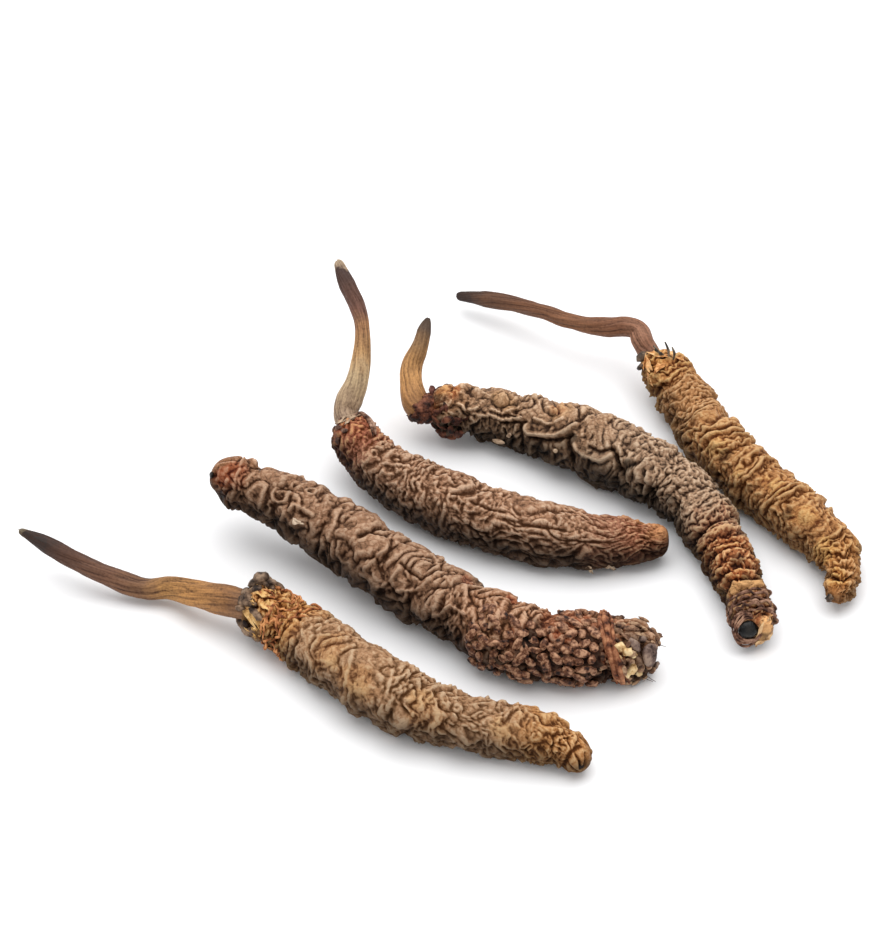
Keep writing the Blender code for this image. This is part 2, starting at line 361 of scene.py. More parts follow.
# %% The bend
def line_through(name, stations):
    """A smooth curve through the stations that carries their radii."""
    data = bpy.data.curves.new(name, "CURVE")
    data.dimensions = "3D"
    data.resolution_u = 24
    line = data.splines.new("BEZIER")
    line.bezier_points.add(len(stations) - 1)
    for point, (x, y, z, radius) in zip(line.bezier_points, stations):
        point.co = Vector((x, y, z)) * MM
        point.radius = radius
        point.handle_left_type = point.handle_right_type = "AUTO"
    guide = bpy.data.objects.new(name, data)
    bpy.context.scene.collection.objects.link(guide)
    bpy.context.view_layer.update()
    return guide


def bent_tube(name, stations, sides, spacing, ends=ROUND_END):
    """A smooth tube along the stations, which remembers the way along (mm) and round (turns)."""
    guide = line_through(name + "_line", stations)
    length = guide.data.splines[0].calc_length() / MM
    tube = blank(name, length, sides, spacing, ends)
    renumber(tube, sides)
    finer = tube.modifiers.new("finer", "SUBSURF")
    finer.levels = finer.render_levels = 2
    bpy.ops.object.modifier_apply(modifier=finer.name)
    bpy.ops.object.shade_smooth()
    straight = points_of(tube)
    note(tube, "along", straight[:, 2])
    note(tube, "around", np.arctan2(straight[:, 1], straight[:, 0]) / (2 * math.pi) + 0.5)
    bend = tube.modifiers.new("bend", "CURVE")
    bend.object = guide
    bend.deform_axis = "POS_Z"
    bpy.context.view_layer.objects.active = tube
    bpy.ops.object.modifier_apply(modifier=bend.name)
    bpy.data.objects.remove(guide, do_unlink=True)
    tube["length_mm"] = length
    print(f"{name}: {length:.1f} mm long, {len(tube.data.polygons)} faces")
    return tube


# %% [markdown]
# ## How a skin wrinkles
# When the larva dries, a stiff skin is left on a core that shrinks, and it buckles into pads and folds
# of every size, with a sharp crease between each two. Soft random hills have lines where they pass
# through zero. Folding the hills upwards at those lines turns them into creases, and the hills and
# hollows between them both into pads. A map of the skin, one turn wide and as long as the husk, holds
# the hills, and a Fourier transform makes them smooth. Two widths let pads lie across or along it.

# %% Maps of the skin
MAP_ROWS, MAP_COLUMNS = 480, 192
HUSK_GIRTH = 16.3     # millimetres round an average husk
STALK_GIRTH = 5.6     # and round an average stalk
CUTOFF = 5.0          # waves shorter than 2 pi / 5 of a hill's width fade out
PEAK = 1.6            # standard deviations that count as a height of 1


def soft_map(size, hill, seed, across=None):
    """Smooth random hills of that width along the skin, and across it, mostly between -1 and 1."""
    length, girth = size
    dice = np.random.default_rng(seed)
    rows = 2 * np.pi * np.fft.fftfreq(MAP_ROWS, length / MAP_ROWS)[:, None]
    columns = 2 * np.pi * np.fft.rfftfreq(MAP_COLUMNS, girth / MAP_COLUMNS)[None, :]
    keep = np.exp(-((rows * hill) ** 2 + (columns * (across or hill)) ** 2) / CUTOFF ** 2)
    random_heights = np.fft.rfft2(dice.standard_normal((MAP_ROWS, MAP_COLUMNS)))
    heights = np.fft.irfft2(random_heights * keep, s=(MAP_ROWS, MAP_COLUMNS))
    return heights / (PEAK * heights.std())


def read_map(heights, share, turn):
    """The map's value at that share of the length and that turn, smoothly between its cells."""
    row = np.clip(share, 0, 0.9999) * (MAP_ROWS - 1)
    column = (turn % 1.0) * MAP_COLUMNS
    r, c = row.astype(int), column.astype(int) % MAP_COLUMNS
    fr, fc = row - r, column - column.astype(int)
    c2 = (c + 1) % MAP_COLUMNS
    return ((heights[r, c] * (1 - fc) + heights[r, c2] * fc) * (1 - fr)
            + (heights[r + 1, c] * (1 - fc) + heights[r + 1, c2] * fc) * fr)


# %% [markdown]
# ## Pushing the skin in and out
# Heights move each vertex along its normal. Ridges bulge and creases stay narrow, which is how dried
# skin looks. Afterwards the skin is compared with a softened copy of itself: what stands out from it is
# a ridge, and what lies below it is a crease. The materials use that to paint shade into the creases and
# a highlight onto the ridges.

# %% Swelling
def swell(piece, heights):
    """Moves each vertex outwards by its height, in millimetres."""
    place_points(piece, points_of(piece) + normals_of(piece) * np.asarray(heights)[..., None])


def smooth_step(low, high, values):
    """0 up to low, 1 from high on, and a smooth rise between them."""
    share = np.clip((values - low) / (high - low), 0, 1)
    return share * share * (3 - 2 * share)


def neighbours(piece):
    """The two vertices of every edge."""
    flat = np.empty(len(piece.data.edges) * 2, np.int32)
    piece.data.edges.foreach_get("vertices", flat)
    return flat.reshape(-1, 2)


def softened(values, edges, times):
    """Each vertex's value, averaged with its neighbours' that many times."""
    one, other = edges[:, 0], edges[:, 1]
    count = len(values)
    weight = np.bincount(one, minlength=count) + np.bincount(other, minlength=count)
    for _ in range(times):
        total = (np.bincount(one, values[other], count) + np.bincount(other, values[one], count))
        values = 0.5 * values + 0.5 * total / weight
    return values


def ridge_of(piece, times):
    """0 at the bottom of a crease and 1 on top of a ridge, from how far the skin stands out from its
    softened self. More times softens further, and so sees wider hollows."""
    edges = neighbours(piece)
    points, normals = points_of(piece), normals_of(piece)
    soft = np.stack([softened(points[:, i], edges, times) for i in range(3)], 1)
    stands = ((points - soft) * normals).sum(1)
    # the few deepest and highest places don't set the scale
    low, high = np.percentile(stands, (4, 96))
    return np.clip((stands - low) / (high - low), 0, 1)


# %% [markdown]
# ## A point of the picture on a skin
# Some marks, such as a leg stump or a torn flake, have a known place in the picture. A ray from the
# camera through that pixel finds where it meets the husk, so the mark sits on the skin from any side.

# %% Under a pixel
NEAR_RAY = np.arange(0.80, 1.20, 0.003)     # shares of the camera's distance, a millimetre apart


def ray_through(column, row):
    """The direction from the camera through that pixel."""
    per_pixel = SENSOR / LENS / max(PICTURE_WIDTH, PICTURE_HEIGHT)
    right, up = Vector((1, 0, 0)), back.cross(Vector((1, 0, 0)))
    sideways, upwards = column - PICTURE_WIDTH / 2, PICTURE_HEIGHT / 2 - row
    return (-back + right * sideways * per_pixel + up * upwards * per_pixel).normalized()


def tree_of(piece):
    """The piece's faces, in a tree that finds where a ray meets them."""
    return BVHTree.FromObject(piece, bpy.context.evaluated_depsgraph_get())


def under_pixel(tree, column, row):
    """The skin's point there, in millimetres, and its normal. A ray that passes the skin by takes the
    point that is nearest to it."""
    ray = ray_through(column, row)
    place, normal, _, _ = tree.ray_cast(camera.location, ray)
    if place is None:
        passed = [tree.find_nearest(camera.location + ray * share * CAMERA_DISTANCE)
                  for share in NEAR_RAY]
        place, normal, _, _ = min(passed, key=lambda found: found[3])
    return np.array(place) / MM, np.array(normal)


# %% [markdown]
# ## Folding one husk
# Several sizes of relief are added up: the body's own segments with a waist between each two, then ever
# smaller folds. Each layer's map is read at a place that drifts, so that no fold runs straight. The
# sides shrank more than the back, so most folds are deeper there. The highest ridges are flattened, and
# all of it is let into the body a little, so that the husk keeps its girth. Lumps, welts and grooves at
# known places come last, the skin moves once, and the folds lean a little towards the tail.

# %% Helpers for the folds
SLICE = 0.8     # millimetres of the husk that count as one place when its direction is measured


def stretch(values, start, end, soft=2.0):
    """1 between two places along a husk, in millimetres, and fading to 0 outside them."""
    return smooth_step(start - soft, start, values) * (1 - smooth_step(end, end + soft, values))


def relief_of(kind, hills):
    """Pads have a crease between each two. Walls are thin and stand round hollows. The powers make the
    pads full and the walls thin, and what is taken off at the end keeps the mean near zero."""
    if kind == "pads":
        return np.abs(hills) ** 0.7 - 0.55
    return (1.05 - np.minimum(np.sqrt(hills ** 2 + 0.02), 1.05)) ** 1.6 - 0.35


def axis_of(husk):
    """The direction from head to tail at each vertex."""
    along, points = noted(husk, "along"), points_of(husk)
    slot = (along / SLICE).astype(int)
    count = np.bincount(slot)
    line = np.stack([np.bincount(slot, points[:, i]) / count for i in range(3)], 1)
    steps = np.gradient(line, axis=0)
    steps = steps / np.linalg.norm(steps, axis=1)[:, None]
    middles = SLICE * (np.arange(len(count)) + 0.5)
    return np.stack([np.interp(along, middles, steps[:, i]) for i in range(3)], 1)


def away_from_line(points, line):
    """How far each point is from a line of straight pieces."""
    nearest = np.full(len(points), np.inf)
    for start, end in zip(line[:-1], line[1:]):
        run = end - start
        share = np.clip((points - start) @ run / (run @ run), 0, 1)
        gap = np.linalg.norm(points - start - share[:, None] * run, axis=1)
        nearest = np.minimum(nearest, gap)
    return nearest


def marked(heights, points, tree, lumps, welts):
    """Adds the lumps and welts that have a known place in the picture."""
    for column, row, radius, width, rise in lumps:
        centre, _ = under_pixel(tree, column, row)
        away = (np.linalg.norm(points - centre, axis=1) - radius) / width
        heights = heights + rise * np.exp(-away ** 2)
    for pixels, width, rise in welts:
        line = [under_pixel(tree, column, row)[0] for column, row in pixels]
        heights = heights + rise * np.exp(-(away_from_line(points, line) / width) ** 2)
    return heights


# %% Folds
SEGMENT = 3.9          # millimetres from one waist of the body to the next
RIDGE_TOP = 0.36       # millimetres above the smooth husk, where ridges start to be flattened
FLATTENED = 0.5        # the share of a ridge's height above that top that stays
SINK = 0.16            # how far all folds are let into the body, so that it keeps its girth


def fold(husk, seed, layers, lumps=(), welts=(), grooves=(), smooth_head=0.5, smooth_tail=0.8,
         segment_depth=0.3, shade=1.0, lean=0.25):
    """Folds the skin. A layer is a kind of relief, its widths along and across the husk, its depths on
    the back and on the sides, and where it starts and ends. A lump is a pixel, the radius of a ring or 0
    for a knob, its width and its height. A welt is a line of pixels, a width and a height, and a
    groove runs round the husk: a place, a width and a depth."""
    length = husk["length_mm"]
    size = (length, HUSK_GIRTH)
    along, turn = noted(husk, "along"), noted(husk, "around")
    share = along / length

    def soft(hill, number):
        """A soft map of this husk with hills of that width, read at every vertex."""
        return read_map(soft_map(size, hill, seed + number), share, turn)

    smooth_points, smooth_normals, tree = points_of(husk), normals_of(husk), tree_of(husk)
    up = smooth_normals[:, 2]
    back_share = smooth_step(0.15, 0.85, up)
    drift, swirl = soft(3.0, 1), soft(3.0, 2)
    strength = 1.0 + 0.3 * soft(4.0, 6)
    waist = np.abs(np.sin(math.pi * (along / SEGMENT + 0.25 * soft(5.0, 8)))) ** 0.5
    heights = 0.2 * soft(7.0, 7) + segment_depth * (waist - 0.75) * strength
    for number, (kind, hill, across, back_depth, side_depth, start, end) in enumerate(layers):
        shiver = soft(1.2 * hill, 20 + number)
        s = share + (0.5 * drift + 0.4 * hill * shiver) / length
        t = turn + (0.5 * swirl - 0.4 * hill * shiver) / HUSK_GIRTH
        hills = read_map(soft_map(size, hill, seed + 30 + number, across), s, t)
        depth = side_depth + (back_depth - side_depth) * back_share
        heights = heights + depth * strength * relief_of(kind, hills) * stretch(along, start, end)
    heights = np.where(heights > RIDGE_TOP, RIDGE_TOP + FLATTENED * (heights - RIDGE_TOP), heights)
    ends = smooth_step(0, smooth_head, along) * smooth_step(0, smooth_tail, length - along)
    heights = (heights - SINK) * ends
    heights = marked(heights, smooth_points, tree, lumps, welts)
    for where, wide, deep in grooves:
        heights = heights - deep * np.exp(-((along + 0.4 * drift - where) / wide) ** 2)
    leaning = lean * heights * (1 + soft(3.0, 9))
    axis = axis_of(husk)
    swell(husk, heights)
    points, edges = points_of(husk) + axis * leaning[:, None], neighbours(husk)
    points = np.stack([softened(points[:, i], edges, 1) for i in range(3)], 1)
    place_points(husk, above_table(points))
    # the materials read how high in a fold and how far down the side a vertex is, and what is set on
    # the skin later reads which way out it faces
    # painted shade and highlight: the materials darken the skin where ridge and hill are low and lighten it
    # where they are high
    note(husk, "ridge", ridge_of(husk, 5))
    note(husk, "hill", ridge_of(husk, 40))
    # painted shade on the lower sides, which face away from the overhead light; shade scales it for each husk
    note(husk, "side", shade * (1 - smooth_step(-0.10, 0.95, up)))
    for number, letter in enumerate("xyz"):
        note(husk, "smooth_" + letter, smooth_normals[:, number])


# %% [markdown]
# ## Where a skin changes colour
# A husk is redder at the head, paler where the skin is torn, and dusty on top. Those places are kept as
# attributes too: bands along the husk, and round patches under a pixel of the picture, both with edges
# that wander. "side" is painted shade: it starts from the lower sides that the folds noted, its patches
# add shade in hollows and gaps, and a patch with a negative amount takes some of it away.

# %% Tints
def tint(husk, name, seed, bands=(), patches=()):
    """Notes an amount per vertex. A band is a start, an end, the width of its edges and an amount. A
    patch is a pixel, a radius and an amount."""
    length = husk["length_mm"]
    size = (length, HUSK_GIRTH)
    along, turn = noted(husk, "along"), noted(husk, "around")
    waver = read_map(soft_map(size, 2.0, seed), along / length, turn)
    total = noted(husk, name) if name == "side" else np.zeros(len(along))
    for start, end, soft, amount in bands:
        total = np.maximum(total, amount * stretch(along + 0.7 * waver, start, end, soft))
    points, tree = points_of(husk), tree_of(husk)
    for column, row, radius, amount in patches:
        centre, _ = under_pixel(tree, column, row)
        away = np.linalg.norm(points - centre, axis=1) / radius + 0.35 * waver
        inside = 1 - smooth_step(0.5, 1.1, away)
        total = np.maximum(total, amount * inside) if amount > 0 else total + amount * inside
    note(husk, name, total)


# %% [markdown]
# ## The skin's material
# The skin is chitin that dried in the open air. It is thin and dull, dyed brown by the fungus and dusted
# with soil. The bottoms of its folds are darkened with painted shade, and their tops are lightened with
# painted highlight. Fine grain breaks up what little light it throws back. A noise's scale is how many of
# its waves go into a metre, so each comes from a width on the real skin.

# %% Patterns on the skin
BLOTCHES = 650.0     # waves in a metre: 1.5 mm wide
CRACKS = 1900.0      # 0.5 mm wide
FLECKS = 3800.0      # 0.26 mm wide
GRIT = 7000.0        # 0.14 mm wide, soil grains drawn as coarse as they need to show


def skin_height(tree, said, flecks, cracks):
    """High where both the small and the wide relief are high, and broken up by flecks and cracks."""
    height = add_node(tree, "ShaderNodeMath", {"operation": "MULTIPLY"}, {0: said["ridge"], 1: said["hill"]})
    height = add_node(tree, "ShaderNodeMath", {"operation": "POWER"}, {0: height.outputs[0], 1: 0.6})
    for pattern, share in ((flecks, 0.7), (cracks, 0.15)):
        height = add_node(tree, "ShaderNodeMath", {"operation": "MULTIPLY_ADD"},
                          {0: pattern, 1: share, 2: height.outputs[0]})
    height = add_node(tree, "ShaderNodeMath", {"operation": "SUBTRACT"}, {0: height.outputs[0], 1: 0.46})
    return height.outputs[0]


# %% The colour of air-dried chitin
def skin_colour(tree, said, height, blotches, crease, body, ridge, accent_crease, accent, pale, dust):
    """Painted shade in creases and painted highlight on ridges, with reddish, pale and dusty places."""
    colours = []
    # painted shade in the creases and painted highlight on the ridges: each ramp runs from a dark crease
    # colour to a light ridge colour
    for low, middle, high in ((crease, body, ridge), (accent_crease, accent, pale)):
        ramp = add_node(tree, "ShaderNodeValToRGB", {}, {"Fac": height})
        first, last = ramp.color_ramp.elements
        first.position, first.color = 0.18, hex_colour(low)
        last.position, last.color = 0.84, hex_colour(high)
        between = ramp.color_ramp.elements.new(0.50)
        between.color = hex_colour(middle)
        colours.append(ramp.outputs["Color"])
    # paleness and dust lie on the ridges alone
    shares = [said["accent"]]
    for kind in ("pale", "dust"):
        on_ridges = add_node(tree, "ShaderNodeMath", {"operation": "MULTIPLY"}, {0: said[kind], 1: height})
        shares.append(on_ridges.outputs[0])
    colour = colours[0]
    for share, other in zip(shares, (colours[1], hex_colour(pale), hex_colour(dust))):
        mixed = add_node(tree, "ShaderNodeMix", {"data_type": "RGBA"}, {0: share, 6: colour, 7: other})
        colour = mixed.outputs[2]
    # painted shade darkens the lower sides, and blotches lighten and darken the rest
    tone = add_node(tree, "ShaderNodeMath", {"operation": "MULTIPLY_ADD"},
                    {0: said["side"], 1: -0.52, 2: 0.60})
    tone = add_node(tree, "ShaderNodeMath", {"operation": "MULTIPLY_ADD"},
                    {0: blotches, 1: 0.34, 2: tone.outputs[0]})
    toned = add_node(tree, "ShaderNodeMix", {"data_type": "RGBA", "blend_type": "MULTIPLY"},
                     {0: 1.0, 6: colour, 7: tone.outputs[0]})
    return toned.outputs[2]


# %% Air-dried chitin
def dried_skin(name, *colours):
    """Dull chitin. Its colours are those that skin_colour() takes, from the crease to the dust."""
    material, tree, shader = new_material(name, specular=0.1)
    where = add_node(tree, "ShaderNodeTexCoord").outputs["Object"]
    said = {
        kind: add_node(tree, "ShaderNodeAttribute", {"attribute_name": kind}).outputs["Fac"]
        for kind in ("ridge", "hill", "side", "accent", "pale", "dust")
    }
    noises = []
    for scale, roughness in ((BLOTCHES, 0.5), (FLECKS, 0.65), (GRIT, 0.5)):
        noise = add_node(tree, "ShaderNodeTexNoise", {},
                         {"Vector": where, "Scale": scale, "Detail": 3.0, "Roughness": roughness})
        noises.append(noise.outputs["Fac"])
    blotches, flecks, grit = noises
    cells = add_node(tree, "ShaderNodeTexVoronoi", {"feature": "DISTANCE_TO_EDGE"},
                     {"Vector": where, "Scale": CRACKS})
    ranged = add_node(tree, "ShaderNodeMapRange", {}, {"Value": cells.outputs["Distance"], "From Max": 0.16})
    cracks = ranged.outputs["Result"]
    height = skin_height(tree, said, flecks, cracks)
    tree.links.new(skin_colour(tree, said, height, blotches, *colours), shader.inputs["Base Color"])
    # flecks are polished or rough, so the gloss breaks up
    rough = add_node(tree, "ShaderNodeMapRange", {},
                     {"Value": flecks, "From Min": 0.35, "From Max": 0.65, "To Min": 0.42, "To Max": 0.8})
    tree.links.new(rough.outputs["Result"], shader.inputs["Roughness"])
    normal = shader.inputs["Normal"]
    for pattern, strength, depth in ((cracks, 0.6, 0.06), (flecks, 0.8, 0.25), (grit, 0.6, 0.06)):
        bump = add_node(tree, "ShaderNodeBump", {},
                        {"Height": pattern, "Strength": strength, "Distance": depth * MM})
        tree.links.new(bump.outputs["Normal"], normal)
        normal = bump.inputs["Normal"]
    return material


# %% [markdown]
# ## Making a husk
# Every husk goes through the same steps: the bent tube, its folds, its tints and its material. Its node
# and its seeds go with it, and all that differs is a list of numbers in its own cell. The places in
# those lists are pixels of the picture, so each mark is where the picture shows it.

# %% Making a husk
EVERYWHERE = (-9, 99)     # a start before the head and an end past the tail
skins = {}


def make_husk(name, stations, seed, colours, accent=None, pale=None, dust=None, side=None, **folds):
    """Makes one husk's skin. The tints are bands and patches, and the folds are what fold() takes."""
    husk = bent_tube(name + "_skin", stations, TUBE_SIDES, RING_SPACING)
    fold(husk, seed, **folds)
    tints = {"accent": accent, "pale": pale, "dust": dust, "side": side}
    for number, (kind, places) in enumerate(tints.items()):
        tint(husk, kind, seed + 50 + number, **(places or {}))
    husk.data.materials.append(dried_skin("air-dried chitin, " + name.replace("_", " "), *colours))
    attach(husk, "root")
    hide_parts(name)
    skins[name] = husk


# %% [markdown]
# ## The front husk
# The nearest husk is ochre, with round pads of skin that are rubbed pale on top. Three leg stumps stand
# out of its lower side, thin welts run round it between the pads, and its tail narrows to a small end
# with a slit.

# %% The front husk
make_husk(
    "front_husk",
    stations=FRONT_HUSK, seed=100, shade=1.00,
    layers=[("pads", 1.4, 1.8, 0.42, 0.40, *EVERYWHERE), ("walls", 0.8, 1.1, 0.20, 0.34, *EVERYWHERE),
            ("walls", 1.8, 0.6, 0.22, 0.22, 31, 99), ("pads", 0.5, 0.6, 0.14, 0.14, *EVERYWHERE)],
    lumps=[(403, 722, 0, 0.7, 0.95), (459, 740, 0, 0.7, 0.85), (346, 698, 0, 0.6, 0.65),
           (250, 619, 0, 0.8, -1.0), (330, 662, 0, 0.8, 0.25), (362, 690, 0, 0.8, 0.25),
           (505, 742, 0, 0.8, 0.20)],
    welts=[([(287, 612), (300, 626), (306, 640)], 0.20, 0.20),
           ([(352, 652), (350, 668), (346, 684)], 0.22, 0.25),
           ([(392, 672), (388, 690), (380, 712)], 0.22, 0.25),
           ([(425, 690), (420, 710), (414, 728)], 0.22, 0.20),
           ([(562, 774), (565, 763), (571, 753), (581, 746)], 0.20, -0.45),
           ([(581, 769), (580, 762), (576, 755)], 0.13, -0.35),
           ([(584, 768), (586, 761), (586, 753)], 0.13, -0.30),
           ([(577, 772), (571, 768), (567, 764)], 0.13, -0.30)],
    colours=("#6e4726", "#b4825a", "#e2bc96", "#6a3814", "#c6864a", "#ecba7e", "#b8a48e"),
    accent=dict(bands=[(29, 99, 2.5, 0.7), (0, 6, 2.5, 1.0)],
                patches=[(325, 655, 2.2, 0.7), (350, 682, 2.2, 0.7), (420, 706, 2.0, 0.5),
                         (505, 738, 2.0, 0.5)]),
    pale=dict(bands=[(7, 30, 3, 0.15)], patches=[(330, 660, 1.3, 1.0), (356, 688, 1.2, 1.1),
                                                 (418, 700, 1.3, 0.8), (500, 728, 1.2, 0.9)]),
    dust=dict(bands=[(8, 26, 3, 0.35)]),
    # side: painted shade in the hollow at the head and in the tail's slit
    side=dict(patches=[(250, 619, 1.1, 1.0), (580, 762, 0.4, 0.9), (565, 757, 0.5, 0.7)]),
    smooth_tail=2.4,
)

# %% [markdown]
# ## The broad husk
# The thickest one is grey brown with deep pads. Its head is closed and red, and most of its tail has
# lost its skin and turned red brown. Grains are set there later.

# %% The broad husk
make_husk(
    "broad_husk",
    stations=BROAD_HUSK, seed=200, shade=1.25,
    layers=[("pads", 1.5, 2.1, 0.52, 0.48, *EVERYWHERE), ("walls", 1.0, 1.4, 0.14, 0.40, *EVERYWHERE),
            ("walls", 0.5, 1.6, 0.18, 0.25, 24, 38), ("pads", 0.5, 0.7, 0.12, 0.14, *EVERYWHERE)],
    lumps=[(311, 491, 0.36, 0.14, 0.35), (311, 491, 0, 0.20, -0.4), (363, 531, 0, 1.1, 0.20),
           (419, 564, 0, 1.1, 0.25), (464, 592, 0, 1.0, 0.25), (501, 615, 0, 1.0, 0.25),
           (330, 508, 0, 1.0, 0.20), (213, 475, 0, 0.35, -0.5), (222, 484, 0, 0.9, -0.35)],
    welts=[([(243, 461), (238, 473), (234, 486), (232, 500)], 0.16, 0.38),
           ([(216, 466), (226, 463), (241, 462)], 0.18, 0.15),
           ([(228, 478), (222, 490)], 0.18, 0.25),
           ([(279, 521), (286, 511), (295, 505), (303, 509), (312, 515)], 0.20, 0.45),
           ([(366, 569), (373, 561), (377, 556), (387, 551)], 0.18, 0.35),
           ([(380, 587), (391, 580), (399, 570)], 0.18, 0.40),
           ([(400, 563), (410, 571), (421, 579), (430, 574), (440, 570)], 0.14, -0.45),
           ([(397, 591), (410, 591), (421, 586), (430, 580)], 0.18, 0.35),
           ([(424, 600), (433, 591), (444, 580)], 0.14, -0.40),
           ([(433, 619), (443, 610), (451, 606), (464, 614)], 0.18, 0.45),
           ([(480, 640), (481, 620), (484, 600)], 0.16, -0.35),
           ([(296, 483), (290, 498), (286, 512)], 0.16, -0.35),
           ([(345, 506), (338, 525), (330, 545)], 0.16, -0.30)],
    colours=("#4a2913", "#9f6e4d", "#dbb090", "#541a06", "#ab603c", "#d6a180", "#b5a088"),
    accent=dict(bands=[(35, 39, 2, 0.6)],
                patches=[(222, 476, 1.7, 1.0), (236, 482, 0.9, 0.7), (225, 492, 1.0, 0.6),
                         (467, 581, 0.8, 0.9), (511, 599, 0.8, 0.9), (530, 648, 2.2, 0.9),
                         (562, 642, 2.6, 1.0), (590, 642, 2.4, 1.0), (585, 617, 1.6, 0.8)]),
    pale=dict(bands=[(3, 38, 3, 0.15)], patches=[(237, 480, 0.5, 0.8)]),
    dust=dict(bands=[(5, 26, 3, 0.4)]),
    # side: painted shade at the head's black spot and below it, and in the gaps among the beans and lumps of
    # the tail
    side=dict(patches=[(212, 475, 0.45, 1.3), (222, 502, 1.3, 0.8), (565, 660, 2.6, 1.38),
                       (595, 660, 2.6, 1.38), (530, 652, 2.2, 1.36), (585, 640, 2.0, 1.1),
                       (640, 650, 2.4, 0.8)]),
    smooth_head=3.0, segment_depth=0.50,
)

# %% [markdown]
# ## The middle husk
# This one is umber and the smoothest. Its folds run round it near the head and along it near the tail,
# so its layers change halfway.

# %% The middle husk
make_husk(
    "middle_husk",
    stations=MIDDLE_HUSK, seed=300, shade=1.25,
    layers=[("pads", 0.9, 2.0, 0.34, 0.30, -9, 17), ("pads", 2.2, 1.0, 0.26, 0.28, 15, 99),
            ("walls", 0.6, 1.3, 0.22, 0.34, -9, 18), ("walls", 1.8, 0.45, 0.16, 0.30, 16, 99),
            ("pads", 0.5, 0.5, 0.12, 0.12, *EVERYWHERE)],
    welts=[([(505, 519), (525, 524), (545, 527), (565, 530)], 0.14, -0.30),
           ([(511, 533), (530, 537), (548, 538)], 0.14, 0.25),
           ([(560, 538), (580, 542), (600, 542)], 0.12, -0.25),
           ([(470, 500), (490, 508), (505, 512)], 0.14, -0.30),
           ([(520, 548), (550, 555), (580, 558)], 0.16, 0.20)],
    colours=("#5c3820", "#ae7c5a", "#e6bc9b", "#6a3416", "#ad6248", "#da9c68", "#bca48e"),
    accent=dict(bands=[(-1, 4.2, 2, 0.9), (28, 99, 4, 0.55)]),
    pale=dict(patches=[(655, 514, 2.0, 1.5), (640, 520, 1.6, 1.0)]),
    dust=dict(bands=[(5, 27, 3, 0.3)]),
    # side: painted shade beside the head
    side=dict(patches=[(336, 436, 0.9, 0.9)]),
    segment_depth=0.22,
)

# %% [markdown]
# ## The arched husk
# The grey one has the boldest relief: a row of round knobs on its back, thick rolls of skin on its side,
# and hollows between its leg stumps. Past the middle it changes to narrow rings, with grooves between
# them, and the last few are red brown with pale rims.

